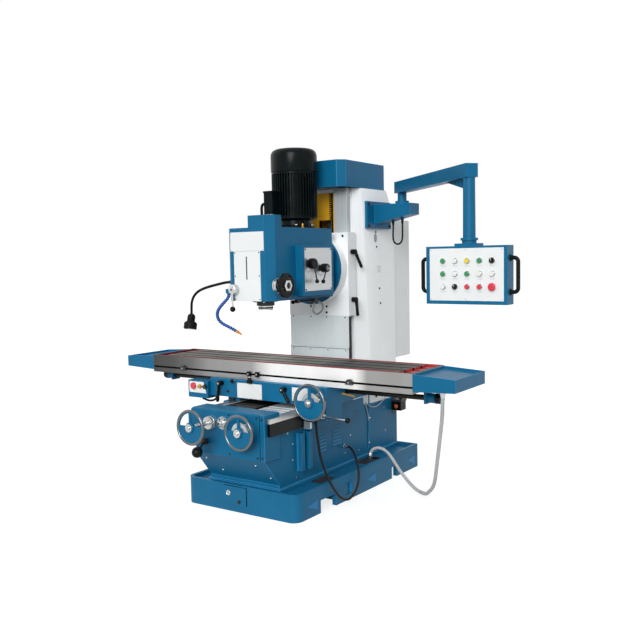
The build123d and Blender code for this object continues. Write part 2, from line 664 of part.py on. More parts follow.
def make_handwheel(at, wheel_y, wall_y, seat_y, radius):
    """Handwheel on a shaft along Y, with a dial ring in front of its wall: one turned and cast piece."""
    x, z = at
    rim_y = span(wheel_y, WHEEL_RIM_THICK)
    wheel = rod("y", at, rim_y, radius) - rod("y", at, rim_y, radius - WHEEL_RIM)
    web_y = span(wheel_y, WHEEL_WEB)
    web = rod("y", at, web_y, radius - WHEEL_RIM / 2)
    inner = WHEEL_HUB + WHEEL_RIM / 4
    outer = radius - 1.4 * WHEEL_RIM
    for side in (-1, 1):
        opening_x = sorted((x + side * WHEEL_RIM / 2, x + side * outer))
        opening = block(opening_x, web_y, (z + WHEEL_RIM / 2, z + outer))
        opening = (opening & rod("y", at, web_y, outer)) - rod("y", at, web_y, inner)
        web -= opening
    wheel += web
    wheel += rod("y", at, (wheel_y - WHEEL_HUB_LENGTH / 2, wheel_y + WHEEL_HUB_LENGTH / 2), WHEEL_HUB)
    wheel += rod("y", at, (wheel_y, wall_y + SHAFT_GRIP), SHAFT_RADIUS)
    return wheel + rod("y", at, (seat_y - DIAL_LENGTH - GAP, seat_y - GAP), DIAL_RADIUS)


def make_engage_lever():
    """Ball lever on the gearbox cover, on a stub along Y."""
    at = (ENGAGE_X, ENGAGE_Z)
    hub_y = BOX_FRONT - WHEEL_HUB_LENGTH
    lever = rod("y", at, (hub_y, BOX_FRONT - GAP), ENGAGE_HUB)
    lever += rod("y", at, (BOX_FRONT - GAP, BOX_BODY_FRONT), SHAFT_RADIUS)
    knob = (ENGAGE_X + ENGAGE_SWING[0], BOX_FRONT + ENGAGE_SWING[1], ENGAGE_Z + ENGAGE_SWING[2])
    lever += bar((ENGAGE_X, hub_y + CLAMP_ROD, ENGAGE_Z), knob, CLAMP_ROD)
    return lever + ball(knob, ENGAGE_BALL_RADIUS)


def make_saddle():
    """Saddle casting: apron box, cheeks with lips about the rails, table tongue, screw tunnel, feed box."""
    across = both(SADDLE_HALF_WIDTH)
    body = block(both(SADDLE_HALF_LENGTH), across, (APRON_BOTTOM, TABLE_BOTTOM))
    lip_inner = max(BED_HALF_WIDTH + RIB_DEPTH, BOX_HALF_WIDTH) + SADDLE_PASS
    cheek_bottom = BED_TOP - CHEEK_DROP
    for side in (-1, 1):
        pad_x = sorted((side * RAIL_INNER, side * CHEEK_OUTER))
        body += block(pad_x, (SADDLE_FRONT + PAD_SETBACK, SADDLE_HALF_WIDTH), (RAIL_TOP, APRON_BOTTOM))
        cheek_x = sorted((side * CHEEK_INNER, side * CHEEK_OUTER))
        body += block(cheek_x, across, (cheek_bottom, RAIL_TOP))
        lip_x = sorted((side * lip_inner, side * CHEEK_OUTER))
        body += block(lip_x, across, (cheek_bottom, BED_TOP - GAP))
    tongue = TONGUE_HALF_WIDTH - GAP
    body += block(both(SADDLE_HALF_LENGTH), both(tongue), (TABLE_BOTTOM, TABLE_BOTTOM + TONGUE_HEIGHT - GAP))
    feed_x = (CHEEK_OUTER, SADDLE_HALF_LENGTH)
    feed_y = (SADDLE_FRONT, SADDLE_FRONT + FEED_BOX_DEPTH)
    body += block(feed_x, feed_y, (FEED_BOX_BOTTOM, APRON_BOTTOM))
    junction_y = (SADDLE_FRONT - JUNCTION_DEPTH, SADDLE_FRONT)
    junction_x = (CHEEK_OUTER + JUNCTION_OUT - JUNCTION_WIDTH, CHEEK_OUTER + JUNCTION_OUT)
    junction_z = (cheek_bottom + JUNCTION_RISE, cheek_bottom + JUNCTION_RISE + JUNCTION_HEIGHT)
    body += block(junction_x, junction_y, junction_z)
    axis = (0, SCREW_Z)
    nut_x = both(SCREW_NUT_LENGTH / 2)
    ends = both(SADDLE_HALF_LENGTH)
    body -= rod("x", axis, (ends[0], nut_x[0]), SCREW_TUNNEL)
    body -= rod("x", axis, (nut_x[1], ends[1]), SCREW_TUNNEL)
    body -= rod("x", axis, nut_x, SCREW_RADIUS + GAP)
    bores = ((TABLE_WHEEL_X, TABLE_WHEEL_Z), (TABLE_LEVER_X, TABLE_LEVER_Z), LEFT_CLAMP, RIGHT_CLAMP)
    for at in bores:
        body -= rod("y", at, (SADDLE_FRONT, SADDLE_FRONT + 2 * SHAFT_GRIP), SHAFT_RADIUS + RUN)
    return body


def make_control_box():
    """Hollow button box on the saddle's left end, with three bores for its buttons."""
    right = -SADDLE_HALF_LENGTH
    left = right - CONTROL_LENGTH
    rear = CONTROL_FRONT + CONTROL_DEPTH
    top = CONTROL_BOTTOM + CONTROL_HEIGHT
    wall = CONTROL_WALL
    body = block((left, right), (CONTROL_FRONT, rear), (CONTROL_BOTTOM, top))
    body -= block((left + wall, right - wall), (CONTROL_FRONT + wall, rear - wall), (CONTROL_BOTTOM + wall, top - wall))
    for x in (ESTOP_X, START_X, STOP_X):
        body -= rod("y", (x, CONTROL_BUTTON_Z), (CONTROL_FRONT, CONTROL_FRONT + wall), BUTTON_STEM + RUN)
    return body


def make_button(at, face_y, radius):
    """Push button facing -Y: head in front of the face, stem and collar behind it."""
    stem_y = (face_y - BUTTON_TRAVEL - GAP, face_y + BUTTON_STEM_LENGTH)
    head_y = (face_y - BUTTON_TRAVEL - GAP - BUTTON_HEAD, face_y - BUTTON_TRAVEL - GAP)
    return rod("y", at, stem_y, BUTTON_STEM) + rod("y", at, head_y, radius)


def make_clamp(at, swing, wall, axis):
    """Clamp lever: a hub on a stub along the axis, and a round grip turned off to one side."""
    end = (at[0] + swing[0], at[1] + swing[1])
    sign = -1 if axis == "y" else 1
    tip = wall + sign * CLAMP_REACH
    middle = wall + sign * (CLAMP_REACH - CLAMP_ROD)
    hub_ends = sorted((wall + sign * GAP, tip))
    stub_ends = sorted((wall + sign * GAP, wall - sign * SHAFT_GRIP))
    lever = rod(axis, at, hub_ends, CLAMP_HUB) + rod(axis, at, stub_ends, SHAFT_RADIUS)
    if axis == "y":
        start, stop = (at[0], middle, at[1]), (end[0], middle, end[1])
    else:
        start, stop = (middle, at[0], at[1]), (middle, end[0], end[1])
    return lever + bar(start, stop, CLAMP_ROD) + ball(stop, CLAMP_TIP)


def make_table_lever():
    """Ball lever for the table feed, on a stub along Y, pointing to the right."""
    at = (TABLE_LEVER_X, TABLE_LEVER_Z)
    hub_y = SADDLE_FRONT - CLAMP_REACH
    lever = rod("y", at, (hub_y, SADDLE_FRONT - GAP), TABLE_LEVER_HUB)
    lever += rod("y", at, (SADDLE_FRONT - GAP, SADDLE_FRONT + SHAFT_GRIP), SHAFT_RADIUS)
    dx, dy, dz = TABLE_LEVER_SWING
    knob = (TABLE_LEVER_X + dx, SADDLE_FRONT + dy, TABLE_LEVER_Z + dz)
    lever += bar((TABLE_LEVER_X, hub_y + CLAMP_ROD, TABLE_LEVER_Z), knob, TABLE_LEVER_ROD)
    return lever + ball(knob, TABLE_LEVER_BALL)


def make_table():
    """Table with T-slots, a trough all round, a groove for the saddle's tongue and a trip dog groove."""
    half = TABLE_LENGTH / 2
    side = TABLE_WIDTH / 2
    body = block(both(half), both(side), (TABLE_BOTTOM, TABLE_TOP))
    body -= block(both(half), both(TONGUE_HALF_WIDTH), (TABLE_BOTTOM, TABLE_BOTTOM + TONGUE_HEIGHT))
    trough_z = (TABLE_TOP - TROUGH_DEPTH, TABLE_TOP)
    outer = block(both(half - TROUGH_RIM), both(side - TROUGH_RIM), trough_z)
    flat_x = half - TROUGH_RIM - END_TROUGH_WIDTH
    outer -= block(both(flat_x), both(side - TROUGH_RIM - TROUGH_WIDTH), trough_z)
    body -= outer
    neck_z = (TABLE_TOP - SLOT_NECK_DEPTH, TABLE_TOP)
    head_z = (neck_z[0] - SLOT_HEAD_DEPTH, neck_z[0])
    slot_x = both(half - TROUGH_RIM)
    for y in (-SLOT_PITCH, 0, SLOT_PITCH):
        body -= block(slot_x, span(y, SLOT_NECK), neck_z)
        body -= block(slot_x, span(y, SLOT_HEAD), head_z)
    groove_z = span(DOG_GROOVE_Z, DOG_GROOVE_HEIGHT)
    return body - block(both(half), (-side, -side + DOG_GROOVE_DEPTH), groove_z)


def make_trays():
    """Two end trays: hollow wedges with a shallow tray on top, bolted to the table's ends."""
    half = TABLE_LENGTH / 2
    side = TABLE_WIDTH / 2
    low = TABLE_TOP - TRAY_BOTTOM
    inner_low = TABLE_TOP - TRAY_INNER_BOTTOM
    inner_top = TABLE_TOP - TRAY_INNER_DROP
    outer_top = TABLE_TOP - TRAY_OUTER_DROP
    trays = []
    for sign in (-1, 1):
        near, far = sign * half, sign * (half + TRAY_LENGTH)
        wall = sign * TRAY_WALL
        body = prism("y", ((near, inner_low), (far, low), (far, outer_top), (near, inner_top)), both(side))
        pan = ((near + wall, inner_top - TRAY_DEPTH), (far - wall, outer_top - TRAY_DEPTH),
               (far - wall, outer_top + TRAY_WALL), (near + wall, inner_top + TRAY_WALL))
        body -= prism("y", pan, both(side - TRAY_WALL))
        under = TRAY_DEPTH + TRAY_FLOOR
        hollow = ((near + wall, inner_low - TRAY_WALL), (far - wall, low - TRAY_WALL),
                  (far - wall, outer_top - under), (near + wall, inner_top - under))
        trays.append(body - prism("y", hollow, both(side - TRAY_WALL)))
    x, y, bottom = HOSE_UPPER_ROUTE[-1]
    share = (x - half) / TRAY_LENGTH
    drop = TRAY_INNER_DROP + share * (TRAY_OUTER_DROP - TRAY_INNER_DROP)
    fitting_top = TABLE_TOP - drop - TRAY_DEPTH - TRAY_FLOOR / 2
    trays[1] += rod("z", (x, y), (bottom, fitting_top), HOSE_FITTING_RADIUS)
    return Compound(children=trays)


def make_brackets():
    """Two bearing brackets below the table's ends, which hold the feed screw."""
    half = TABLE_LENGTH / 2
    brackets = []
    for sign in (-1, 1):
        body_x = sorted((sign * (half - BRACKET_LENGTH), sign * half))
        boss_x = sorted((sign * half, sign * (half + BRACKET_BOSS_LENGTH)))
        body = block(body_x, both(BRACKET_HALF_WIDTH), (BRACKET_BOTTOM, TABLE_BOTTOM))
        body += rod("x", (0, SCREW_Z), boss_x, BRACKET_BOSS)
        bore_x = sorted((body_x[0], body_x[1], boss_x[0], boss_x[1]))
        brackets.append(body - rod("x", (0, SCREW_Z), (bore_x[0], bore_x[-1]), SCREW_JOURNAL + RUN))
    return Compound(children=brackets)


def make_table_screw():
    """Table feed screw between the end brackets."""
    half = TABLE_LENGTH / 2
    screw = rod("x", (0, SCREW_Z), both(half - BRACKET_LENGTH - GAP), SCREW_RADIUS)
    return screw + rod("x", (0, SCREW_Z), both(half + BRACKET_BOSS_LENGTH), SCREW_JOURNAL)


def make_column():
    """Hollow column with a window between the ways, tapered front corners and two screw shelves."""
    side = COLUMN_HALF_WIDTH
    profile = ((COLUMN_FRONT, BED_TOP), (BED_REAR, BED_TOP), (BED_REAR, SLOPE_START_Z), (SLOPE_TOP_Y, COLUMN_TOP),
               (COLUMN_FRONT, COLUMN_TOP))
    body = prism("x", profile, both(side))
    inner = side - COLUMN_WALL
    front = COLUMN_FRONT + COLUMN_FRONT_WALL
    rear = BED_REAR - COLUMN_WALL
    hollow = ((front, BED_TOP), (rear, BED_TOP), (rear, SLOPE_START_Z - COLUMN_WALL),
              (SLOPE_TOP_Y - COLUMN_WALL, WINDOW_TOP), (front, WINDOW_TOP))
    body -= prism("x", hollow, both(inner))
    body -= block(both(WINDOW_HALF_WIDTH), (COLUMN_FRONT, front), (WINDOW_BOTTOM, WINDOW_TOP))
    for sign in (-1, 1):
        corners = []
        for level, depth in ((BED_TOP, CHAMFER_FOOT_Y), (COLUMN_TOP, CHAMFER_TOP_Y)):
            outline = [(sign * CHAMFER_START, COLUMN_FRONT, level), (sign * side, COLUMN_FRONT, level),
                       (sign * side, depth, level)]
            corners.append(make_face(Polyline(*outline, close=True)))
        body -= loft(corners)
    shelf_y = (COLUMN_FRONT + WAY_UNDERCUT, LIFT_SHELF_REAR)
    for low in (WINDOW_BOTTOM - LIFT_SHELF, WINDOW_TOP):
        body += block(both(LIFT_SHELF_HALF_WIDTH), shelf_y, (low, low + LIFT_SHELF))
    for low in (WINDOW_BOTTOM - LIFT_SHELF, WINDOW_TOP):
        body -= rod("z", (0, LIFT_SCREW_Y), (low, low + LIFT_SHELF), LIFT_JOURNAL + RUN)
    return body


def make_column_ways():
    """Two box ways on the column's front, undercut at the back for the slide's lips."""
    ways = []
    neck_y = COLUMN_FRONT - WAY_UNDERCUT
    for sign in (-1, 1):
        head_x = sorted((sign * WAY_INNER, sign * WAY_OUTER))
        neck_x = sorted((sign * WAY_INNER, sign * (WAY_OUTER - WAY_UNDERCUT)))
        way = block(head_x, (WAY_FRONT, neck_y), (WAY_BOTTOM, COLUMN_TOP))
        ways.append(way + block(neck_x, (neck_y, COLUMN_FRONT), (WAY_BOTTOM, COLUMN_TOP)))
    return Compound(children=ways)


def make_lift_screw():
    """Vertical feed screw in the column, with a journal in each shelf."""
    thread = rod("z", (0, LIFT_SCREW_Y), (WINDOW_BOTTOM + GAP, WINDOW_TOP - GAP), LIFT_SCREW_RADIUS)
    return thread + rod("z", (0, LIFT_SCREW_Y), (WINDOW_BOTTOM - LIFT_SHELF, WINDOW_TOP + LIFT_SHELF), LIFT_JOURNAL)


def cap_outline(inset):
    """Outline of the cap in X and Y, with its two front corners cut off."""
    side = CAP_HALF_WIDTH - inset
    front = CAP_FRONT + inset
    rear = CAP_REAR - inset
    cut = CAP_CHAMFER - inset * (2 - math.sqrt(2))
    return ((-side, front + cut), (-side + cut, front), (side - cut, front), (side, front + cut), (side, rear),
            (-side, rear))


def make_cap():
    """Sheet cap over the column's top and ways, open below."""
    shell = prism("z", cap_outline(0), (COLUMN_TOP, CAP_TOP))
    return shell - prism("z", cap_outline(CAP_WALL), (COLUMN_TOP, CAP_TOP - CAP_WALL))


def make_cabinet():
    """Electrical cabinet behind the column, open at the rear."""
    side = CABINET_HALF_WIDTH
    wall = CABINET_WALL
    rear = BED_REAR + CABINET_DEPTH
    body = block(both(side), (BED_REAR, rear), (CABINET_BOTTOM, CABINET_TOP))
    return body - block(both(side - wall), (BED_REAR + wall, rear), (CABINET_BOTTOM + wall, CABINET_TOP - wall))


def make_cabinet_door():
    """Cabinet door on a hinge barrel at its left edge, with a round handle."""
    face = BED_REAR + CABINET_DEPTH + GAP
    side = CABINET_HALF_WIDTH - DOOR_MARGIN
    level = (CABINET_BOTTOM + DOOR_MARGIN, CABINET_TOP - DOOR_MARGIN)
    door = block(both(side), (face, face + DOOR_THICK), level)
    door += rod("z", (-side, face + DOOR_HINGE), level, DOOR_HINGE)
    middle = (CABINET_BOTTOM + CABINET_TOP) / 2
    grip = face + DOOR_THICK + 3 * DOOR_HANDLE
    return door + rod("y", (side - 5 * DOOR_HANDLE, middle), (face, grip), DOOR_HANDLE)


def make_slide():
    """Head slide: front plate, cheeks with lips behind the ways, and the lift screw's nut."""
    level = (SLIDE_BOTTOM, SLIDE_TOP)
    body = block(both(SLIDE_HALF_WIDTH), (SLIDE_FRONT, WAY_FRONT), level)
    lip_y = (COLUMN_FRONT - WAY_UNDERCUT + GAP, SLIDE_CHEEK_REAR)
    for sign in (-1, 1):
        cheek_x = sorted((sign * (WAY_OUTER + GAP), sign * SLIDE_HALF_WIDTH))
        body += block(cheek_x, (WAY_FRONT, SLIDE_CHEEK_REAR), level)
        lip_x = sorted((sign * (WAY_OUTER - WAY_UNDERCUT + GAP), sign * SLIDE_HALF_WIDTH))
        body += block(lip_x, lip_y, level)
    nut_z = span(SWIVEL_Z, NUT_HEIGHT)
    body += block(both(NUT_HALF_WIDTH), (WAY_FRONT, NUT_REAR), nut_z)
    body -= rod("z", (0, LIFT_SCREW_Y), nut_z, LIFT_SCREW_RADIUS + GAP)
    for at in (UPPER_LEVER, LOWER_LEVER):
        ends = (SLIDE_HALF_WIDTH - 2 * SHAFT_GRIP, SLIDE_HALF_WIDTH)
        body -= rod("x", at, ends, SHAFT_RADIUS + RUN)
    return body


def make_upper_panel():
    """Grey way panel below the slide, with a flange against the slide's foot."""
    sheet = block(both(PANEL_HALF_WIDTH), (SLIDE_FRONT, SLIDE_FRONT + PANEL_THICK), (PANEL_SEAM, SLIDE_BOTTOM))
    flange_z = (SLIDE_BOTTOM - PANEL_FLANGE_THICK, SLIDE_BOTTOM)
    return sheet + block(both(PANEL_HALF_WIDTH), (SLIDE_FRONT, SLIDE_FRONT + PANEL_FLANGE), flange_z)


def make_lower_panel():
    """Fixed grey way panel in front of the ways, on a foot against the column."""
    sheet_y = (LOWER_PANEL_FRONT, LOWER_PANEL_FRONT + PANEL_THICK)
    sheet = block(both(PANEL_HALF_WIDTH), sheet_y, (LOWER_PANEL_BOTTOM, PANEL_SEAM))
    foot_z = (LOWER_PANEL_BOTTOM, LOWER_PANEL_BOTTOM + LOWER_FOOT_THICK)
    return sheet + block(both(LOWER_FOOT_HALF_WIDTH), (sheet_y[1], COLUMN_FRONT), foot_z)


def head_outline(inset):
    """Outline of the head in X and Y, with its two front corners cut off."""
    side = HEAD_HALF_WIDTH - inset
    front = HEAD_FRONT + inset
    rear = HEAD_REAR - inset
    cut = HEAD_CHAMFER - inset * (2 - math.sqrt(2))
    return ((-side, front + cut), (-side + cut, front), (side - cut, front), (side, front + cut), (side, rear),
            (-side, rear))


def make_head():
    """Hollow head casting with the quill's tube, a raised top cover, a selector box and the bores of its levers."""
    body = prism("z", head_outline(0), (HEAD_BOTTOM, HEAD_TOP))
    body -= prism("z", head_outline(HEAD_WALL), (HEAD_BOTTOM + HEAD_WALL, HEAD_TOP - HEAD_WALL))
    side = HEAD_HALF_WIDTH
    cut = HEAD_CHAMFER
    raised = ((TOP_COVER_LEFT, HEAD_FRONT), (side - cut, HEAD_FRONT), (side, HEAD_FRONT + cut), (side, TOP_COVER_REAR),
              (TOP_COVER_LEFT, TOP_COVER_REAR))
    body += prism("z", raised, (HEAD_TOP, HEAD_TOP + TOP_COVER_HEIGHT))
    spindle = (0, SPINDLE_Y)
    body += rod("z", spindle, (HEAD_BOTTOM, QUILL_TUBE_TOP), QUILL_RADIUS + QUILL_TUBE_WALL)
    body -= rod("z", spindle, (HEAD_BOTTOM, QUILL_TUBE_TOP), QUILL_RADIUS + RUN)
    hose_x, hose_y, hose_z = COOLANT_ROUTE[0]
    block_y = (hose_y - COOLANT_BLOCK_WIDTH / 2, hose_y - COOLANT_BLOCK_WIDTH / 2 + COOLANT_BLOCK_DEPTH)
    body += block(span(hose_x, COOLANT_BLOCK_WIDTH), block_y, (hose_z, hose_z + COOLANT_BLOCK_HEIGHT))
    slot_z = (SCALE_SLOT_BOTTOM, SCALE_SLOT_TOP)
    body -= block(span(SCALE_SLOT_X, SCALE_SLOT_WIDTH), (HEAD_FRONT, HEAD_FRONT + HEAD_WALL), slot_z)
    body -= rod("x", (FINE_WHEEL_Y, FINE_WHEEL_Z), (side - HEAD_WALL, side), SHAFT_RADIUS + RUN)
    wall = HEAD_WALL
    body += block((side, SIDE_BOX_FACE), (SIDE_BOX_FRONT, SIDE_BOX_REAR), (SIDE_BOX_BOTTOM, SIDE_BOX_TOP))
    body -= block((side - wall, SIDE_BOX_FACE - wall), (SIDE_BOX_FRONT + wall, SIDE_BOX_REAR - wall),
                  (SIDE_BOX_BOTTOM + wall, SIDE_BOX_TOP - wall))
    for at in (FRONT_SELECTOR, REAR_SELECTOR):
        body -= rod("x", at, (SIDE_BOX_FACE - wall, SIDE_BOX_FACE), SHAFT_RADIUS + RUN)
    return body - rod("y", QUILL_LEVER, (HEAD_FRONT, HEAD_FRONT + HEAD_WALL), SHAFT_RADIUS + RUN)


def make_front_cover():
    """White cover plate on the head's front, with the depth scale's slot and the quill lever's bore."""
    front = HEAD_FRONT - FRONT_COVER_THICK
    cover = block(both(FRONT_COVER_HALF_WIDTH), (front, HEAD_FRONT), (HEAD_BOTTOM, FRONT_COVER_TOP))
    slot_z = (SCALE_SLOT_BOTTOM, SCALE_SLOT_TOP)
    cover -= block(span(SCALE_SLOT_X, SCALE_SLOT_WIDTH), (front, HEAD_FRONT), slot_z)
    return cover - rod("y", QUILL_LEVER, (front, HEAD_FRONT), SHAFT_RADIUS + RUN)


def make_disc():
    """Swivel disc between the head and the slide."""
    return rod("y", (0, SWIVEL_Z), (HEAD_REAR, SLIDE_FRONT), DISC_RADIUS)


def make_motor():
    """Main motor: flange, body, domed fan cover and terminal box."""
    at = (0, MOTOR_Y)
    motor = rod("z", at, (HEAD_TOP, MOTOR_BODY_Z), MOTOR_FLANGE)
    motor += rod("z", at, (MOTOR_BODY_Z, FAN_COVER_Z), MOTOR_RADIUS)
    dome = rod("z", at, (FAN_COVER_Z, FAN_COVER_Z + FAN_COVER_HEIGHT), FAN_COVER_RADIUS)
    motor += fillet(dome.edges().sort_by(Axis.Z)[-1], FAN_COVER_ROUND)
    box_z = (TERMINAL_BOTTOM, TERMINAL_BOTTOM + TERMINAL_HEIGHT)
    return motor + block(TERMINAL_X, (MOTOR_Y - TERMINAL_REACH, MOTOR_Y), box_z)


def make_quill():
    """Quill sleeve, bored for the spindle."""
    quill = rod("z", (0, SPINDLE_Y), (QUILL_BOTTOM, QUILL_TOP), QUILL_RADIUS)
    return quill - rod("z", (0, SPINDLE_Y), (QUILL_BOTTOM, QUILL_TOP), SPINDLE_RADIUS + RUN)


def make_spindle():
    """Spindle with its nose, spline and a tool taper."""
    at = (0, SPINDLE_Y)
    nose_z = (QUILL_BOTTOM - GAP - SPINDLE_NOSE_LENGTH, QUILL_BOTTOM - GAP)
    spindle = rod("z", at, nose_z, SPINDLE_NOSE) + rod("z", at, (nose_z[1], QUILL_TOP), SPINDLE_RADIUS)
    spindle += rod("z", at, (QUILL_TOP, SPINDLE_TOP), SPINDLE_SPLINE)
    taper = Cone(TAPER_MOUTH, TAPER_END, TAPER_DEPTH)
    return spindle - Pos(0, SPINDLE_Y, nose_z[0] + TAPER_DEPTH / 2) * taper


def make_fine_wheel():
    """Fine feed wheel with its dial on a shaft along X."""
    at = (FINE_WHEEL_Y, FINE_WHEEL_Z)
    side = HEAD_HALF_WIDTH
    wheel = rod("x", at, span(FINE_WHEEL_X, FINE_WHEEL_THICK), FINE_WHEEL_RADIUS)
    wheel += rod("x", at, (side + GAP, side + GAP + FINE_DIAL_LENGTH), FINE_DIAL_RADIUS)
    return wheel + rod("x", at, (side - SHAFT_GRIP, FINE_WHEEL_X), SHAFT_RADIUS)


def make_quill_lever():
    """Quill lever with a round hub and a ball, on a stub along Y."""
    wall = HEAD_FRONT - FRONT_COVER_THICK
    tip = wall - QUILL_LEVER_REACH
    lever = rod("y", QUILL_LEVER, (tip, wall - GAP), QUILL_LEVER_HUB)
    lever += rod("y", QUILL_LEVER, (wall - GAP, HEAD_FRONT + SHAFT_GRIP), SHAFT_RADIUS)
    middle = tip + CLAMP_ROD
    start = (QUILL_LEVER[0], middle, QUILL_LEVER[1])
    end = (QUILL_LEVER[0] + QUILL_LEVER_SWING[0], middle, QUILL_LEVER[1] + QUILL_LEVER_SWING[1])
    return lever + bar(start, end, QUILL_LEVER_ROD) + ball(end, QUILL_LEVER_BALL)


def make_selector(at, swing, hub, step):
    """Speed selector lever on the side box: hub along X, rod and ball."""
    end = (at[0] + swing[0], at[1] + swing[1])
    side = SIDE_BOX_FACE
    tip = side + SELECTOR_REACH + step
    lever = rod("x", at, (side + GAP, tip), hub)
    lever += rod("x", at, (side - SHAFT_GRIP, side + GAP), SHAFT_RADIUS)
    middle = tip - SELECTOR_ROD * 2
    lever += bar((middle, *at), (middle, *end), SELECTOR_ROD)
    return lever + ball((middle, *end), SELECTOR_BALL)


def make_lamp():
    """Work lamp: gooseneck from the head's side and a conical lamp head."""
    points = [(x, LAMP_Y, z) for x, z in LAMP_ROUTE]
    neck = tube(points, LAMP_NECK, "lamp neck")
    x, top = LAMP_ROUTE[-1]
    shade = Cone(LAMP_HEAD_FRONT, LAMP_HEAD_BACK, LAMP_HEAD_LENGTH)
    lamp = neck + ball((x, LAMP_Y, top), LAMP_HEAD_BACK)
    return lamp + Pos(x, LAMP_Y, top) * Rot(-LAMP_TILT, 0, 0) * Pos(0, 0, -LAMP_HEAD_LENGTH / 2) * shade


def make_bracket():
    """Pendant bracket: plate on the column's side and a tapered arm with the pivot's bore."""
    plate_x = (COLUMN_HALF_WIDTH, COLUMN_HALF_WIDTH + PLATE_THICK)
    plate = block(plate_x, span(PLATE_Y, PLATE_WIDTH), (PLATE_BOTTOM, PLATE_BOTTOM + PLATE_HEIGHT))
    top = ARM_BRACKET_TOP
    outline = ((plate_x[1], top - ARM_BRACKET_DEEP), (ARM_BRACKET_END, top - ARM_BRACKET_SHALLOW),
               (ARM_BRACKET_END, top), (plate_x[1], top))
    bracket = plate + prism("y", outline, span(PLATE_Y, ARM_BRACKET_WIDTH))
    for end in (LOOP_ROUTE[0], LOOP_ROUTE[-1]):
        bracket += rod("z", end[:2], (end[2], end[2] + LOOP_GLAND_SINK), LOOP_GLAND)
    return bracket - rod("z", (PIVOT_X, PLATE_Y), (PIVOT_BOTTOM - GAP, top), PIVOT_RADIUS + RUN)


def make_arm():
    """Pendant arm: pivot post with collar, beam, gusset and the hanging post."""
    reach = math.hypot(POST_X - PIVOT_X, POST_Y - PLATE_Y)
    turn = math.degrees(math.atan2(POST_Y - PLATE_Y, POST_X - PIVOT_X))
    half = ARM_WIDTH / 2
    arm_z = (ARM_BOTTOM, ARM_BOTTOM + ARM_HEIGHT)
    beam = block((-ARM_TAIL, reach + ARM_NOSE), both(half), arm_z)
    beam += rod("z", (0, 0), (PIVOT_BOTTOM, ARM_BOTTOM), PIVOT_RADIUS)
    collar_z = (ARM_BRACKET_TOP, ARM_BRACKET_TOP + PIVOT_COLLAR_HEIGHT)
    beam += rod("z", (0, 0), collar_z, PIVOT_COLLAR)
    post_length = ARM_BOTTOM - POST_FOOT_Z
    post = Pos(reach, 0, POST_FOOT_Z + post_length / 2) * Cone(POST_FOOT_RADIUS, POST_TOP_RADIUS, post_length)
    beam += post + rod("z", (reach, 0), (POST_FOOT_Z, POST_FOOT_Z + POST_COLLAR_HEIGHT), POST_COLLAR)
    root = reach - POST_TOP_RADIUS / 2
    web = ((root, ARM_BOTTOM), (root - GUSSET_LENGTH, ARM_BOTTOM), (root, ARM_BOTTOM - GUSSET_HEIGHT))
    beam += prism("y", web, both(GUSSET_THICK / 2))
    return Pos(PIVOT_X, PLATE_Y, 0) * Rot(0, 0, turn) * beam


def button_spot(column, row):
    """X and Z of a pendant control, counted from the middle of the panel."""
    return (POST_X + BUTTON_MIDDLE_X + column * BUTTON_PITCH_X, BUTTON_MIDDLE_Z + row * BUTTON_PITCH_Z)


GREEN_SPOTS = ((-2, 1), (1, 1), (-2, 0), (0, 0))
WHITE_SPOTS = ((-1, 1), (-1, 0), (1, 0), (2, 0), (-2, -1))
YELLOW_SPOT = (0, 1)
RED_SPOTS = ((0, -1), (1, -1))
SWITCH_UPPER_SPOT = (2, 1)
SWITCH_LOWER_SPOT = (-1, -1)
MUSHROOM_SPOT = (2, -1)


def make_pendant_box():
    """Hollow pendant box with a collar on top and a bore for each control."""
    half = PENDANT_WIDTH / 2
    wall = PENDANT_WALL
    outer_x = (POST_X - half, POST_X + half)
    outer_y = (PENDANT_FRONT, PENDANT_FRONT + PENDANT_DEPTH)
    body = block(outer_x, outer_y, (PENDANT_BOTTOM, PENDANT_TOP))
    body -= block((outer_x[0] + wall, outer_x[1] - wall), (outer_y[0] + wall, outer_y[1] - wall),
                  (PENDANT_BOTTOM + wall, PENDANT_TOP - wall))
    collar_y = min(PENDANT_TOP_COLLAR, PENDANT_FRONT_MARGIN, PENDANT_DEPTH - PENDANT_FRONT_MARGIN)
    body += rod("z", (POST_X, POST_Y), (PENDANT_TOP, POST_FOOT_Z), collar_y)
    body += block(span(POST_X, PENDANT_FLANGE_WIDTH), (outer_y[0] + wall, outer_y[1] - wall),
                  (PENDANT_TOP, PENDANT_TOP + PENDANT_FLANGE_THICK))
    for column in (-2, -1, 0, 1, 2):
        for row in (-1, 0, 1):
            at = button_spot(column, row)
            body -= rod("y", at, (outer_y[0], outer_y[0] + wall), BUTTON_STEM + RUN)
    return body


def make_buttons(spots):
    """Push buttons of one colour on the pendant."""
    return Compound(children=[make_button(button_spot(*spot), PENDANT_FRONT, BUTTON_RADIUS) for spot in spots])


def make_switch(spot):
    """Selector switch on the pendant: round head with a grip bar."""
    at = button_spot(*spot)
    face = PENDANT_FRONT - GAP
    head = rod("y", at, (face - BUTTON_HEAD, face), SELECTOR_SWITCH_HEAD)
    head += rod("y", at, (face, PENDANT_FRONT + BUTTON_STEM_LENGTH), BUTTON_STEM)
    grip_x = span(at[0], SELECTOR_SWITCH_GRIP)
    grip_z = span(at[1], 2 * SELECTOR_SWITCH_HEAD - SELECTOR_SWITCH_GRIP)
    return head + block(grip_x, (face - 2 * BUTTON_HEAD, face - BUTTON_HEAD), grip_z)


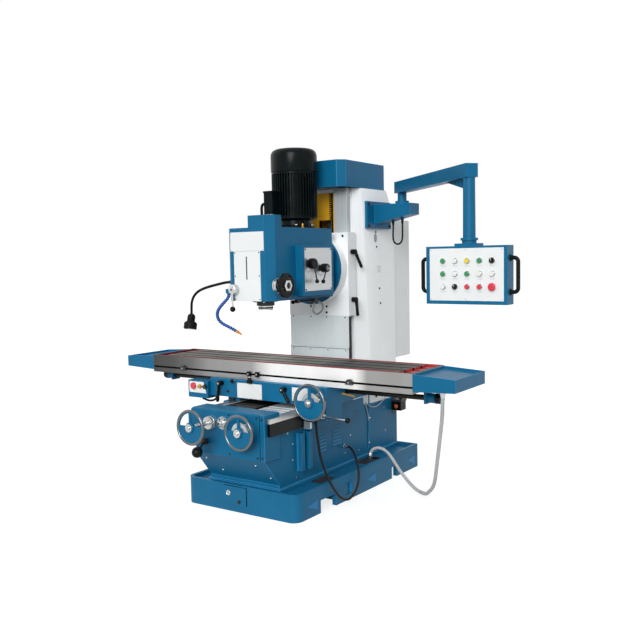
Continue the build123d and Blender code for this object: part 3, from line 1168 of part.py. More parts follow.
def make_handles():
    """Two bow handles on the pendant box's sides."""
    handles = []
    middle = PENDANT_BOTTOM + PENDANT_HEIGHT / 2
    depth = PENDANT_FRONT + PENDANT_DEPTH / 2
    for sign in (-1, 1):
        root = POST_X + sign * PENDANT_WIDTH / 2
        grip = root + sign * (HANDLE_REACH - HANDLE_ROD)
        low, high = middle - HANDLE_HALF_HEIGHT, middle + HANDLE_HALF_HEIGHT
        path = FilletPolyline((root, depth, low), (grip, depth, low), (grip, depth, high), (root, depth, high),
                              radius=HANDLE_ROUND)
        handles.append(sweep(Plane(origin=path @ 0, z_dir=path % 0) * Circle(HANDLE_ROD), path=path))
    return Compound(children=handles)


PARTS = {
    "base": make_base(),
    "bed": make_bed(),
    "bed_ways": make_bed_ways(),
    "bed_way_covers": make_way_covers(),
    "feed_gearbox": make_gearbox(),
    "gearbox_cover": make_gearbox_cover(),
    "vertical_handwheel": make_handwheel((VERTICAL_WHEEL_X, VERTICAL_WHEEL_Z), VERTICAL_WHEEL_Y, BOX_FRONT,
                                         BOX_FRONT - FLANGE_THICK, WHEEL_RADIUS),
    "cross_handwheel": make_handwheel((CROSS_WHEEL_X, CROSS_WHEEL_Z), CROSS_WHEEL_Y, BOX_FRONT,
                                      BOX_FRONT - FLANGE_THICK, WHEEL_RADIUS),
    "feed_engage_lever": make_engage_lever(),
    "saddle": make_saddle(),
    "control_box": make_control_box(),
    "box_estop": make_button((ESTOP_X, CONTROL_BUTTON_Z), CONTROL_FRONT, MUSHROOM_RADIUS),
    "box_start_button": make_button((START_X, CONTROL_BUTTON_Z), CONTROL_FRONT, BUTTON_RADIUS),
    "box_stop_button": make_button((STOP_X, CONTROL_BUTTON_Z), CONTROL_FRONT, BUTTON_RADIUS),
    "table_clamp_left": make_clamp(LEFT_CLAMP, LEFT_CLAMP_SWING, SADDLE_FRONT, "y"),
    "table_clamp_right": make_clamp(RIGHT_CLAMP, RIGHT_CLAMP_SWING, SADDLE_FRONT, "y"),
    "table_handwheel": make_handwheel((TABLE_WHEEL_X, TABLE_WHEEL_Z), TABLE_WHEEL_Y, SADDLE_FRONT, SADDLE_FRONT,
                                      TABLE_WHEEL_RADIUS),
    "table_feed_lever": make_table_lever(),
    "table": make_table(),
    "end_trays": make_trays(),
    "screw_brackets": make_brackets(),
    "table_screw": make_table_screw(),
    "column": make_column(),
    "column_ways": make_column_ways(),
    "lift_screw": make_lift_screw(),
    "column_cap": make_cap(),
    "electrical_cabinet": make_cabinet(),
    "cabinet_door": make_cabinet_door(),
    "lower_way_panel": make_lower_panel(),
    "head_slide": make_slide(),
    "upper_way_panel": make_upper_panel(),
    "slide_clamp_upper": make_clamp(UPPER_LEVER, UPPER_LEVER_SWING, SLIDE_HALF_WIDTH, "x"),
    "slide_clamp_lower": make_clamp(LOWER_LEVER, LOWER_LEVER_SWING, SLIDE_HALF_WIDTH, "x"),
    "head_body": make_head(),
    "head_front_cover": make_front_cover(),
    "swivel_disc": make_disc(),
    "main_motor": make_motor(),
    "quill": make_quill(),
    "spindle": make_spindle(),
    "fine_feed_wheel": make_fine_wheel(),
    "quill_lever": make_quill_lever(),
    "speed_selector_front": make_selector(FRONT_SELECTOR, FRONT_SELECTOR_SWING, FRONT_SELECTOR_HUB, 0),
    "speed_selector_rear": make_selector(REAR_SELECTOR, REAR_SELECTOR_SWING, REAR_SELECTOR_HUB, SELECTOR_STEP),
    "work_lamp": make_lamp(),
    "coolant_hose": tube(COOLANT_ROUTE, COOLANT_RADIUS, "coolant hose"),
    "pendant_bracket": make_bracket(),
    "pendant_arm": make_arm(),
    "pendant_box": make_pendant_box(),
    "pendant_handles": make_handles(),
    "pendant_green_buttons": make_buttons(GREEN_SPOTS),
    "pendant_white_buttons": make_buttons(WHITE_SPOTS),
    "pendant_yellow_button": make_button(button_spot(*YELLOW_SPOT), PENDANT_FRONT, BUTTON_RADIUS),
    "pendant_red_buttons": make_buttons(RED_SPOTS),
    "pendant_switch_upper": make_switch(SWITCH_UPPER_SPOT),
    "pendant_switch_lower": make_switch(SWITCH_LOWER_SPOT),
    "pendant_estop": make_button(button_spot(*MUSHROOM_SPOT), PENDANT_FRONT, MUSHROOM_RADIUS),
    "saddle_conduit": tube(CONDUIT_ROUTE, CONDUIT_RADIUS, "saddle conduit"),
    "drain_hose_lower": tube(HOSE_LOWER_ROUTE, HOSE_RADIUS, "drain hose, lower stretch"),
    "drain_hose_upper": tube(HOSE_UPPER_ROUTE, HOSE_RADIUS, "drain hose, upper stretch"),
    "pendant_conduit": tube(LOOP_ROUTE, LOOP_RADIUS, "pendant conduit"),
}

os.makedirs("parts", exist_ok=True)
for name, shape in PARTS.items():
    export_step(shape, f"parts/{name}.step")
print(len(PARTS), "parts written")
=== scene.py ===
import bmesh
import bpy
import json
from functools import partial
from math import atan, cos, hypot, pi, radians, sin
from mathutils import Matrix, Vector


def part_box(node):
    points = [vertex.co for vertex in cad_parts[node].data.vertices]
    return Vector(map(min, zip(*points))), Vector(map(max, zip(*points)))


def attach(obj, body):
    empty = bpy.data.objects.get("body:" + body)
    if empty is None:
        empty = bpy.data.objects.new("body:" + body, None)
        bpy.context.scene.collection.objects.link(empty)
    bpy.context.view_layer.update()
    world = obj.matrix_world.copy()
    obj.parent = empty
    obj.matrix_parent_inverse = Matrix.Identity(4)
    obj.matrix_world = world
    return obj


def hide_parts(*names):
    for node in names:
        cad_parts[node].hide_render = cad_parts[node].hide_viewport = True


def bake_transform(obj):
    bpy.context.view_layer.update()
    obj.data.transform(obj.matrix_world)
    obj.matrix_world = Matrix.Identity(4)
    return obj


# Bed type milling machine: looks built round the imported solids.
# Points are in millimetres in the part's frame: x along the table, y to the rear, z up.
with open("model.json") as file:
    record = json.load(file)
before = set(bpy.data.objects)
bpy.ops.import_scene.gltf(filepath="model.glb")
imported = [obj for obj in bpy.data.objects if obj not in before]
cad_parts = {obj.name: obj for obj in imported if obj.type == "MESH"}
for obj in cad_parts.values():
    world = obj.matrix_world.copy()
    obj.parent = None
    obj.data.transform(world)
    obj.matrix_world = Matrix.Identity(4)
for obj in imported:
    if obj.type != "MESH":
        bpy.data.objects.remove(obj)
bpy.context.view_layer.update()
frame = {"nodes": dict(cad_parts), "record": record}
NODES = frame["nodes"]
BODY = {n: b for b, names in frame["record"]["behaviour"]["bodies"].items() for n in names}
MM = 0.001
scene = bpy.context.scene
scene.view_settings.view_transform = "Standard"

# Camera at the photograph's place
AZIMUTH, ELEVATION, ROLL = (radians(a) for a in (34.4, 4.5, -1.11))
AIM = Vector((258, 0, 1117)) * MM
DISTANCE = 4.936
HALF_FRAME, FOCAL_LENGTH = 320, 799  # in pixels
flat = cos(ELEVATION)
back = Vector((sin(AZIMUTH) * flat, -cos(AZIMUTH) * flat, sin(ELEVATION)))
level = Vector((cos(AZIMUTH), sin(AZIMUTH), 0))
upright = back.cross(level)
right = cos(ROLL) * level + sin(ROLL) * upright
up = cos(ROLL) * upright - sin(ROLL) * level
camera = bpy.data.objects.new("camera", bpy.data.cameras.new("camera"))
scene.collection.objects.link(camera)
pose = Matrix((right, up, back)).transposed().to_4x4()
pose.translation = AIM + back * DISTANCE
camera.matrix_world = pose
camera.data.angle = 2 * atan(HALF_FRAME / FOCAL_LENGTH)
camera.data.clip_end = 80
scene.camera = camera


# Materials
NOISE_RANGE = (0.3, 0.7)
CHIP_EDGE = 0.03
DUST_CODE, DUST_HEIGHT = "A9A59C", 0.34
GRAIN_DEPTH = 0.0008


def tone(code):
    """Linear colour of a six-digit code."""
    parts = [int(code[i:i + 2], 16) / 255 for i in (0, 2, 4)]
    return tuple(p / 12.92 if p < 0.04045 else ((p + 0.055) / 1.055) ** 2.4 for p in parts)


def add_node(tree, kind, links=None, values=None, operation=None):
    """Shader node with its operation, links and values."""
    n = tree.nodes.new("ShaderNode" + kind)
    if operation:
        n.operation = operation
    for key, source in (links or {}).items():
        tree.links.new(source, n.inputs[key])
    for key, value in (values or {}).items():
        n.inputs[key].default_value = value
    return n


def look(name, code, rough, slot, metal=0.0, vary=0.10, patch=5.0, grain=300.0, bump=0.05,
        stretch=(1, 1, 1), chips=None, dust=0.0, spread=0.07, painted_reflection_bands=None, gloss=0.5, **sockets):
    """Material of a colour that varies in broad patches, with fine grain and floor dust.

    chips are a colour, the level of noise above which it shows and the noise's scale.
    painted_reflection_bands are pairs of a place along x, in metres, and the share of the colour that shows
    there: painted reflections and light along the part.
    """
    m = bpy.data.materials.new(name)
    m.use_nodes = True
    tree = m.node_tree
    shader = tree.nodes["Principled BSDF"]

    add = partial(add_node, tree)

    def between(source, low, high, a, b):
        ends = {"From Min": low, "From Max": high, "To Min": a, "To Max": b}
        return add("MapRange", {"Value": source}, ends).outputs[0]

    def mixed(factor, a, b, blend="MIX"):
        n = tree.nodes.new("ShaderNodeMix")
        n.data_type, n.blend_type = "RGBA", blend
        for socket, value in ((0, factor), (6, a), (7, b)):
            if isinstance(value, tuple):
                n.inputs[socket].default_value = (*value, 1)
            elif isinstance(value, float):
                n.inputs[socket].default_value = value
            else:
                tree.links.new(value, n.inputs[socket])
        return n.outputs[2]

    coord = add("TexCoord").outputs["Object"]
    place = add("Mapping", {"Vector": coord}, {"Scale": stretch}).outputs[0]
    broad = add("TexNoise", {"Vector": place}, {"Scale": patch, "Detail": 5.0, "Roughness": 0.6}).outputs[0]
    fine = add("TexNoise", {"Vector": place}, {"Scale": grain, "Detail": 3.0}).outputs[0]
    dull, bright = (tuple(min(1.0, c * share) for c in tone(code)) for share in (1 - vary, 1 + vary))
    colour = mixed(between(broad, *NOISE_RANGE, 0.0, 1.0), dull, bright)
    roughness = between(broad, *NOISE_RANGE, max(0.02, rough - spread), min(1.0, rough + spread))
    # painted reflections and light: the colour darkens and brightens along x
    if painted_reflection_bands:
        along = add("SeparateXYZ", {"Vector": coord}).outputs[0]
        reflection_ramp = add("ValToRGB", {"Fac": between(along, -1.0, 1.0, 0.0, 1.0)})
        for i, (x, share) in enumerate(painted_reflection_bands):
            stop = reflection_ramp.color_ramp.elements[i] if i < 2 else reflection_ramp.color_ramp.elements.new(1.0)
            stop.position, stop.color = (x + 1) / 2, (share, share, share, 1)
        colour = mixed(1.0, colour, reflection_ramp.outputs[0], "MULTIPLY")
    if chips:
        chip, start, scale = chips
        spots = add("TexNoise", {"Vector": coord}, {"Scale": scale, "Detail": 8.0,
            "Roughness": 0.7}).outputs[0]
        colour = mixed(between(spots, start, start + CHIP_EDGE, 0.0, 1.0), colour, tone(chip))
    if dust:
        height = add("SeparateXYZ", {"Vector": coord}).outputs[2]
        low = between(height, 0.0, DUST_HEIGHT, dust, 0.0)
        patchy = add("Math", {0: low, 1: broad}, operation="MULTIPLY").outputs[0]
        colour = mixed(patchy, colour, tone(DUST_CODE))
    relief = add("Bump", {"Height": fine}, {"Strength": bump, "Distance": GRAIN_DEPTH}).outputs[0]
    for key, source in (("Base Color", colour), ("Roughness", roughness), ("Normal", relief)):
        tree.links.new(source, shader.inputs[key])
    for key, value in {"Metallic": metal, "Specular IOR Level": gloss, **sockets}.items():
        shader.inputs[key.replace("_", " ")].default_value = value
    return m


BLUE = look("blue_enamel", "08648C", 0.42, "blue_paint", vary=0.08, grain=420, bump=0.07, dust=0.03,
    chips=("0B4468", 0.7, 26), gloss=0.2)
# pale blue that paints a highlight along rounded edges and on the louvre slats, with wear chips; also the
# lubrication pipe's colour
PALE_BLUE_HIGHLIGHT_AND_WEAR = look("pale_blue_highlight_and_wear", "2277A4", 0.45, "blue_paint", vary=0.12, chips=("7F919C", 0.68, 34),
    gloss=0.3)
BLUE_SHEET = look("blue_sheet_enamel", "08648C", 0.4, "blue_sheet", vary=0.06, grain=700,
    chips=("0C4C75", 0.76, 18), gloss=0.2)
WHITE = look("white_enamel", "F7FAFB", 0.36, "white_casting", vary=0.03, grain=420, bump=0.06,
    chips=("C2C5C4", 0.72, 20), gloss=0.3)
WHITE_EDGE = look("white_enamel_edge", "D2D6D8", 0.45, "white_casting", vary=0.06,
    chips=("9A9C9C", 0.68, 34))
WHITE_SHEET = look("white_sheet_enamel", "E7EBEC", 0.34, "white_sheet", vary=0.03, grain=700,
    chips=("BEC2C4", 0.74, 16))
GREY = look("grey_sheet_metal", "D4DCDE", 0.42, "grey_sheet", metal=0.25, vary=0.06, patch=9,
    stretch=(1, 1, 0.25), bump=0.06)
STEEL = look("ground_steel", "C6C6C1", 0.34, "ground_steel", metal=0.9, vary=0.3, patch=2.4, grain=520,
    bump=0.1, stretch=(1, 0.3, 0.3), spread=0.1)
# the table's front and top carry painted reflections: darker and brighter stretches of colour along x
FRONT = look("table_side_steel_painted_reflections", "F4F4F2", 0.34, "ground_steel", metal=0.4, patch=3, grain=520, bump=0.1,
    stretch=(1, 0.3, 0.3), spread=0.1, painted_reflection_bands=((-1, 0.045), (-0.81, 0.07), (-0.64, 0.15), (-0.48, 0.31),
    (-0.13, 0.37), (0.02, 1), (0.63, 1), (0.71, 0.36), (1, 0.34)))
# painted reflections along the table's top, darker and brighter stretches along x
TOP = look("table_top_steel_painted_reflections", "8A867D", 0.5, "ground_steel", metal=0.45, vary=0.3, patch=7, grain=520,
    bump=0.12, stretch=(0.22, 3, 1), spread=0.1, gloss=0.2, painted_reflection_bands=((-1, 0.28), (-0.36, 0.28), (-0.16, 0.85),
    (0.26, 0.85), (0.42, 0.2), (0.7, 0.2), (1, 0.4)))
# painted light and reflection along x: the trough red is darker to the left and full to the right
RED = look("red_trough_enamel_painted_light", "B03034", 0.4, "ground_steel", vary=0.14, patch=9,
    chips=("7C3A38", 0.64, 30), painted_reflection_bands=((-1, 0.35), (-0.3, 0.5), (0.6, 1), (1, 1)))
WAY = look("way_steel", "C2C8CA", 0.4, "ground_steel", metal=0.3, vary=0.16, patch=9, grain=240, bump=0.12,
    stretch=(2.2, 1, 0.12), spread=0.08)
# dark steel that paints shade in the T-slots and trough walls, the spindle's bore and the table's screw,
# and a dark reflection on the left way cover
SHADE_STEEL = look("steel_painted_dark_as_shade", "2F2E2B", 0.55, "ground_steel", metal=1, vary=0.25, patch=14, bump=0.12)
# bright sheet that paints the bright reflections on the right way cover
BRIGHT_REFLECTION_SHEET = look("sheet_metal_painted_bright_reflection", "E0E2E2", 0.34, "bright_sheet", metal=0.4, vary=0.08, patch=10,
    stretch=(2, 0.2, 2))
CHROME = look("handwheel_chrome", "6C6F71", 0.18, "wheel", metal=1, patch=22, bump=0.03, spread=0.06)
BRIGHT = look("turned_steel", "C3C5C4", 0.24, "wheel", metal=1, vary=0.08, patch=40, bump=0.06, spread=0.06)
IRON = look("dark_iron", "3B3D3E", 0.52, "black_lever", metal=0.6, vary=0.2, patch=30, bump=0.2)
BLACK = look("black_plastic", "0A0C0D", 0.3, "black_lever", vary=0.25, patch=30, grain=500, gloss=0.14)
GLOSS = look("black_gloss_enamel", "081113", 0.24, "black_motor", vary=0.3, patch=12, grain=330, bump=0.1,
    chips=("151A1B", 0.72, 30), gloss=0.09)
MATT = look("matt_black", "0D0E0F", 0.5, "lamp", vary=0.25, patch=40, grain=500, bump=0.12, gloss=0.12)
RUBBER = look("black_conduit_skin", "0E0F10", 0.48, "black_conduit", vary=0.25, patch=30, grain=600,
    bump=0.1, dust=0.12, gloss=0.12)
HOSE = look("grey_hose_skin", "B4B7B8", 0.46, "grey_hose", vary=0.08, patch=24, grain=600, bump=0.08,
    dust=0.25)
YELLOW = look("yellow_enamel", "F8B91A", 0.44, "white_casting", patch=6, chips=("A87410", 0.66, 22),
    gloss=0.2)
# painted light: a lighter blue for the lit faces of the base's facets and pockets
LIT_BLUE_FACET = look("blue_painted_lit_facet", "1C79B0", 0.42, "blue_paint", chips=("0B4468", 0.7, 26), gloss=0.3)
SLATE = look("grey_oval_plate", "8F9697", 0.4, "grey_sheet", metal=0.4, vary=0.08, patch=18)
ALU = look("brushed_plate", "C4C7C8", 0.36, "grey_sheet", metal=0.8, vary=0.07, patch=18,
    stretch=(1, 0.15, 3), bump=0.06)
PLATE = look("bare_white_plate", "E8EBEB", 0.38, "white_sheet", vary=0.025, patch=12, grain=800, bump=0.03)
# black used two ways: painted shade in seams, screw sockets, vent slots, the table's groove and under the
# strainers, and the real black of graduation marks, scales and the column's toothed strip
SHADE_AND_MARKS = look("painted_shade_and_black_marks", "08090A", 0.8, "black_lever", vary=0.3, patch=30, gloss=0.1)
BRASS = look("brass", "B58A3C", 0.3, "wheel", metal=1, vary=0.15, patch=40)
AMBER = look("amber_lens", "D8671C", 0.2, "yellow_button", vary=0.15, patch=40, Coat_Weight=0.6)
BLUE_HOSE = look("blue_hose_plastic", "1F57A5", 0.34, "blue_hose", vary=0.12, patch=40, grain=500)
ORANGE = look("orange_nozzle", "E58A1E", 0.34, "blue_hose", patch=50)
GREEN_CAP = look("green_cap", "0E8A4E", 0.26, "green_button", vary=0.12, patch=60, Coat_Weight=0.4)
WHITE_CAP = look("white_cap", "E9EAE6", 0.28, "white_button", vary=0.04, patch=60, Coat_Weight=0.4)
YELLOW_CAP = look("yellow_cap", "E6CE2C", 0.26, "yellow_button", patch=60, Coat_Weight=0.4)
RED_CAP = look("red_cap", "D81E3A", 0.26, "red_button", vary=0.12, patch=60, Coat_Weight=0.4)
BLACK_CAP = look("black_cap", "17181A", 0.3, "black_button", vary=0.2, patch=60, Coat_Weight=0.3)
LENS = look("lamp_lens", "F2F1EA", 0.18, "lamp", vary=0.03, patch=60, Emission_Color=(1, 0.97, 0.9, 1),
    Emission_Strength=0.25)
GLASS = look("sight_glass", "9FB7B4", 0.08, "ground_steel", patch=60, Coat_Weight=1)


# Mesh tools
SMOOTH_ANGLE = 38
BEVEL_ANGLE, BEVEL_SEGMENTS = 32, 2
WELD_DISTANCE, FLAT_ANGLE = 3e-5, 0.6
ROUND_STEPS = 14  # steps round a ball's half circle and a ring's section
TINY = 1e-6
FACING = 0.7  # share of a normal that makes a face look one way
TICK_DEPTH, TICK_WIDTH, SHORT_TICK = 0.25, 0.4, 0.6


def put(name, me, body, nodes=(), bevel=0.0, edge=None, angle=SMOOTH_ANGLE):
    """Object of a mesh that rides on a body and stands for nodes, with its sharp edges rounded."""
    o = bpy.data.objects.new(name, me)
    scene.collection.objects.link(o)
    me.shade_smooth()
    me.set_sharp_from_angle(angle=radians(angle))
    if bevel:
        b = o.modifiers.new("rounded_edges", "BEVEL")
        b.width, b.segments = bevel * MM, BEVEL_SEGMENTS
        b.limit_method, b.angle_limit = "ANGLE", radians(BEVEL_ANGLE)
        b.harden_normals = True
        # the rounded edges take the edge material: the pale blue one paints a highlight along the edges,
        # with wear chips
        if edge:
            me.materials.append(edge)
            b.material = len(me.materials) - 1
    if body:
        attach(o, body)
    if nodes:
        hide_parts(*nodes)
    return o


def clone(node, pick, bevel=2.0, edge=None, cuts=(), drop=None, angle=SMOOTH_ANGLE):
    """Rounded copy of a node's shape, with one material or one picked by face centre and normal."""
    bm = bmesh.new()
    bm.from_mesh(NODES[node].data)
    bmesh.ops.remove_doubles(bm, verts=bm.verts, dist=WELD_DISTANCE)
    for axis, at in cuts:
        normal = Vector([1.0 if axis == a else 0.0 for a in "xyz"])
        everything = bm.verts[:] + bm.edges[:] + bm.faces[:]
        bmesh.ops.bisect_plane(bm, geom=everything, plane_co=normal * at * MM, plane_no=normal)
    if drop:
        gone = [f for f in bm.faces if drop(f.calc_center_median() / MM)]
        bmesh.ops.delete(bm, geom=gone, context="FACES")
    mats = []
    for f in bm.faces:
        m = pick(f.calc_center_median() / MM, f.normal) if callable(pick) else pick
        if m not in mats:
            mats.append(m)
        f.material_index = mats.index(m)
    bmesh.ops.dissolve_limit(bm, angle_limit=radians(FLAT_ANGLE), verts=bm.verts, edges=bm.edges,
        delimit={"MATERIAL"})
    bmesh.ops.connect_verts_concave(bm, faces=bm.faces)
    me = bpy.data.meshes.new(node + "_shape")
    bm.to_mesh(me)
    bm.free()
    if "custom_normal" in me.attributes:
        me.attributes.remove(me.attributes["custom_normal"])
    for m in mats:
        me.materials.append(m)
    return put(me.name, me, BODY[node], (node,), bevel, edge, angle)


def angles(count, start=0.0):
    """Angles evenly spread round a circle."""
    return [start + 2 * pi * i / count for i in range(count)]


def around(at, r, a):
    """Point on a circle about a point."""
    return (at[0] + r * cos(a), at[1] + r * sin(a))


def beside(side, a, b):
    """Two distances from the middle plane, as ends on one side of it."""
    return sorted((side * a, side * b))


class Kit:
    """Faces of one piece in millimetres, each with its material."""

    def __init__(self):
        self.empty()

    def empty(self):
        self.v, self.f, self.m, self.mats = [], [], [], []

    def paint(self, faces, m):
        if m not in self.mats:
            self.mats.append(m)
        self.f += faces
        self.m += [self.mats.index(m)] * len(faces)
        return self

    def add(self, verts, faces, m):
        start = len(self.v)
        self.v += [tuple(v) for v in verts]
        return self.paint([[start + i for i in f] for f in faces], m)

    def at(self, axis, u, v, w):
        return (w, u, v) if axis == "x" else (u, w, v) if axis == "y" else (u, v, w)

    def block(self, middle, a, b, c, m):
        """Box about a point with three half edges."""
        middle, a, b, c = (Vector(p) for p in (middle, a, b, c))
        corners = [middle + i * a + j * b + k * c for i in (-1, 1) for j in (-1, 1) for k in (-1, 1)]
        faces = [(0, 1, 3, 2), (4, 6, 7, 5), (0, 4, 5, 1), (2, 3, 7, 6), (0, 2, 6, 4), (1, 5, 7, 3)]
        return self.add(corners, faces, m)

    def box(self, x, y, z, m):
        ends = (x, y, z)
        half = [(b - a) / 2 for a, b in ends]
        return self.block([(a + b) / 2 for a, b in ends], (half[0], 0, 0), (0, half[1], 0), (0, 0, half[2]),
            m)

    def prism(self, axis, outline, ends, m):
        n = len(outline)
        verts = [self.at(axis, u, v, w) for w in ends for u, v in outline]
        sides = [(i, (i + 1) % n, n + (i + 1) % n, n + i) for i in range(n)]
        return self.add(verts, sides + [tuple(range(n - 1, -1, -1)), tuple(range(n, 2 * n))], m)

    def turn(self, axis, at, profile, m, seg=40):
        """Turned shape: a profile of radius and place, with one material or one for each step."""
        base = len(self.v)
        rows = []
        for r, w in profile:
            start = len(self.v) - base
            if r < TINY:
                rows.append([start] * seg)
                self.v.append(self.at(axis, *at, w))
            else:
                rows.append(list(range(start, start + seg)))
                self.v += [self.at(axis, *around(at, r, a), w) for a in angles(seg)]
        for n, (p, q) in enumerate(zip(rows, rows[1:])):
            faces = []
            for i in range(seg):
                j = (i + 1) % seg
                face = list(dict.fromkeys((p[i], p[j], q[j], q[i])))
                if len(face) > 2:
                    faces.append([base + c for c in face])
            self.paint(faces, m[n] if isinstance(m, list) else m)
        return self

    def band(self, axis, at, face, out, profile, m, seg=40):
        """Turned shape on a face: a profile of radius and height out of the face."""
        return self.turn(axis, at, [(r, face + out * h) for r, h in profile], m, seg)

    def stud(self, axis, at, face, out, profile, m, seg=40):
        """Band that flat ends close on its axis."""
        closed = [(0, profile[0][1]), *profile, (0, profile[-1][1])]
        return self.band(axis, at, face, out, closed, m, seg)

    def rod(self, axis, at, ends, r, m, seg=32):
        a, b = sorted(ends)
        e = min(1.0, r / 2, (b - a) / 3)
        return self.turn(axis, at, [(0, a), (r - e, a), (r, a + e), (r, b - e), (r - e, b), (0, b)], m, seg)

    def ball(self, at, r, m, seg=28):
        halves = [pi * i / ROUND_STEPS for i in range(ROUND_STEPS + 1)]
        rings = [(r * sin(a), at[2] - r * cos(a)) for a in halves]
        rings[0], rings[-1] = (0, at[2] - r), (0, at[2] + r)
        return self.turn("z", at[:2], rings, m, seg)

    def ring(self, axis, at, w, big, small, m, seg=72, wide=None):
        """Torus about an axis; wide is its half width along the axis."""
        round_section = [2 * pi * i / ROUND_STEPS for i in range(ROUND_STEPS + 1)]
        loop = [(big + small * cos(a), w + (wide or small) * sin(a)) for a in round_section]
        return self.turn(axis, at, loop, m, seg)

    def sweep(self, points, radius, m, seg=14, closed=True):
        """Round tube along points; radius is one number or one for each point."""
        points = [Vector(p) for p in points]
        last = len(points) - 1
        radii = radius if isinstance(radius, (list, tuple)) else [radius] * len(points)
        ways = [(points[min(i + 1, last)] - points[max(i - 1, 0)]).normalized() for i in range(last + 1)]
        side = ways[0].orthogonal().normalized()
        verts = []
        for p, way, r in zip(points, ways, radii):
            side = (side - way * side.dot(way)).normalized()
            other = way.cross(side)
            verts += [p + r * (cos(a) * side + sin(a) * other) for a in angles(seg)]
        faces = [(n * seg + i, n * seg + (i + 1) % seg, (n + 1) * seg + (i + 1) % seg, (n + 1) * seg + i)
            for n in range(last) for i in range(seg)]
        if closed:
            faces += [tuple(range(seg - 1, -1, -1)), tuple(range(last * seg, last * seg + seg))]
        return self.add(verts, faces, m)

    def taper(self, foot, tip, shares, radii, m, seg=20):
        """Round bar between two points, with a radius at each share of the way."""
        foot, tip = Vector(foot), Vector(tip)
        return self.sweep([foot.lerp(tip, t) for t in shares], radii, m, seg)

    def ticks(self, axis, at, r, ends, count, m):
        """Plain graduation lines round a dial, every fifth one longer."""
        for i, a in enumerate(angles(count)):
            out = Vector(self.at(axis, cos(a), sin(a), 0))
            along = Vector(self.at(axis, 0, 0, 1))
            far = ends[1] if i % 5 == 0 else ends[0] + (ends[1] - ends[0]) * SHORT_TICK
            middle = Vector(self.at(axis, at[0], at[1], (ends[0] + far) / 2)) + out * r
            across = out.cross(along) * TICK_WIDTH
            self.block(middle, out * TICK_DEPTH, along * (far - ends[0]) / 2, across, m)
        return self

    def screw(self, axis, at, face, out, m, r=6.0, head=5.0):
        """Socket head screw on a face, standing out along the axis; its socket is painted dark as shade."""
        profile = [(r * 0.5, head / 2), (r * 0.52, head), (r * 0.85, head), (r, head - 1), (r, 0)]
        return self.stud(axis, at, face, out, profile, [SHADE_AND_MARKS, SHADE_AND_MARKS, m, m, m, m], 20)

    def pins(self, places, tip, foot, inner, r):
        """Small bright pins along y that hold a plate."""
        for at in places:
            self.turn("y", at, [(0, tip), (inner, tip), (r, tip + 1), (r, foot), (0, foot)], BRIGHT, 14)
        return self

    def done(self, name, body="frame", *nodes, bevel=0.0, angle=SMOOTH_ANGLE):
        me = bpy.data.meshes.new(name)
        me.from_pydata([Vector(v) * MM for v in self.v], [], self.f)
        for m in self.mats:
            me.materials.append(m)
        me.polygons.foreach_set("material_index", self.m)
        bm = bmesh.new()
        bm.from_mesh(me)
        bmesh.ops.recalc_face_normals(bm, faces=bm.faces)
        bm.to_mesh(me)
        bm.free()
        self.empty()
        return put(name, me, body, nodes, bevel, angle=angle)


def line_of(points):
    """Points of the smooth NURBS line that a route's points control, in millimetres."""
    curve = bpy.data.curves.new("route", "CURVE")
    curve.dimensions = "3D"
    curve.resolution_u = 20
    spline = curve.splines.new("NURBS")
    spline.points.add(len(points) - 1)
    for p, at in zip(spline.points, points):
        p.co = (at[0] * MM, at[1] * MM, at[2] * MM, 1)
    spline.order_u = 3
    spline.use_endpoint_u = True
    o = bpy.data.objects.new("route", curve)
    scene.collection.objects.link(o)
    me = bpy.data.meshes.new_from_object(o)
    line = [v.co / MM for v in me.vertices]
    bpy.data.objects.remove(o)
    bpy.data.curves.remove(curve)
    bpy.data.meshes.remove(me)
    return line


def steps(line, pattern, stop=None):
    """Points along a line at a repeated pattern of (advance, value), with the values."""
    ends = [0.0]
    for a, b in zip(line, line[1:]):
        ends.append(ends[-1] + (b - a).length)
    total = ends[-1] if stop is None else stop
    out, values, along, i, n = [], [], 0.0, 0, 0
    while along < total - TINY:
        while ends[i + 1] < along:
            i += 1
        t = (along - ends[i]) / max(1e-9, ends[i + 1] - ends[i])
        advance, value = pattern[n % len(pattern)]
        out.append(line[i].lerp(line[i + 1], t))
        values.append(value)
        along += advance
        n += 1
    if stop is None:
        out.append(line[-1])
        values.append(values[-1])
    return out, values


# Free cords: the routes repeat the part's own points
CONDUIT = ((360, -212, 545), (360, -212, 480), (372, -210, 399), (392, -216, 306), (428, -190, 183),
    (456, -170, 115), (472, -129, 62), (480, -80, 37), (478, -27, 34), (468, 55, 60), (458, 101, 105),
    (444, 126, 161), (416, 152, 218), (377, 180, 262), (335, 205, 283), (307, 213, 286), (281, 213, 286))
HOSE_LOWER = ((300, 508, 150), (300, 508, 174), (316, 510, 202), (344, 514, 218), (376, 517, 218),
    (407, 517, 210), (436, 515, 192), (466, 508, 166), (502, 497, 130), (546, 480, 91), (592, 460, 61),
    (640, 434, 37), (690, 405, 18), (736, 376, 13), (776, 345, 17))
HOSE_UPPER = ((776, 345, 17), (816, 314, 21), (858, 270, 56), (900, 222, 90), (938, 174, 130),
    (972, 126, 182), (1002, 80, 248), (1031, 36, 320), (1057, 0, 390), (1082, -36, 463), (1106, -68, 532),
    (1130, -102, 606), (1160, -156, 690), (1160, -156, 766))
LOOP = ((388, 708, 1738), (388, 708, 1694), (386, 706, 1646), (389, 705, 1604), (408.5, 704, 1582),
    (437.5, 704, 1582), (457, 705, 1604), (460, 706, 1650), (458, 708, 1698), (458, 708, 1745))
CONDUIT_RADIUS, HOSE_RADIUS, LOOP_RADIUS = 7.5, 11, 6
SPIRAL = [(2.2, 1.0), (1.0, 0.93), (1.0, 0.93), (0.8, 1.0)]
CORRUGATED = [(2.0, 1.0), (1.5, 0.9), (1.0, 0.88), (1.5, 0.9)]


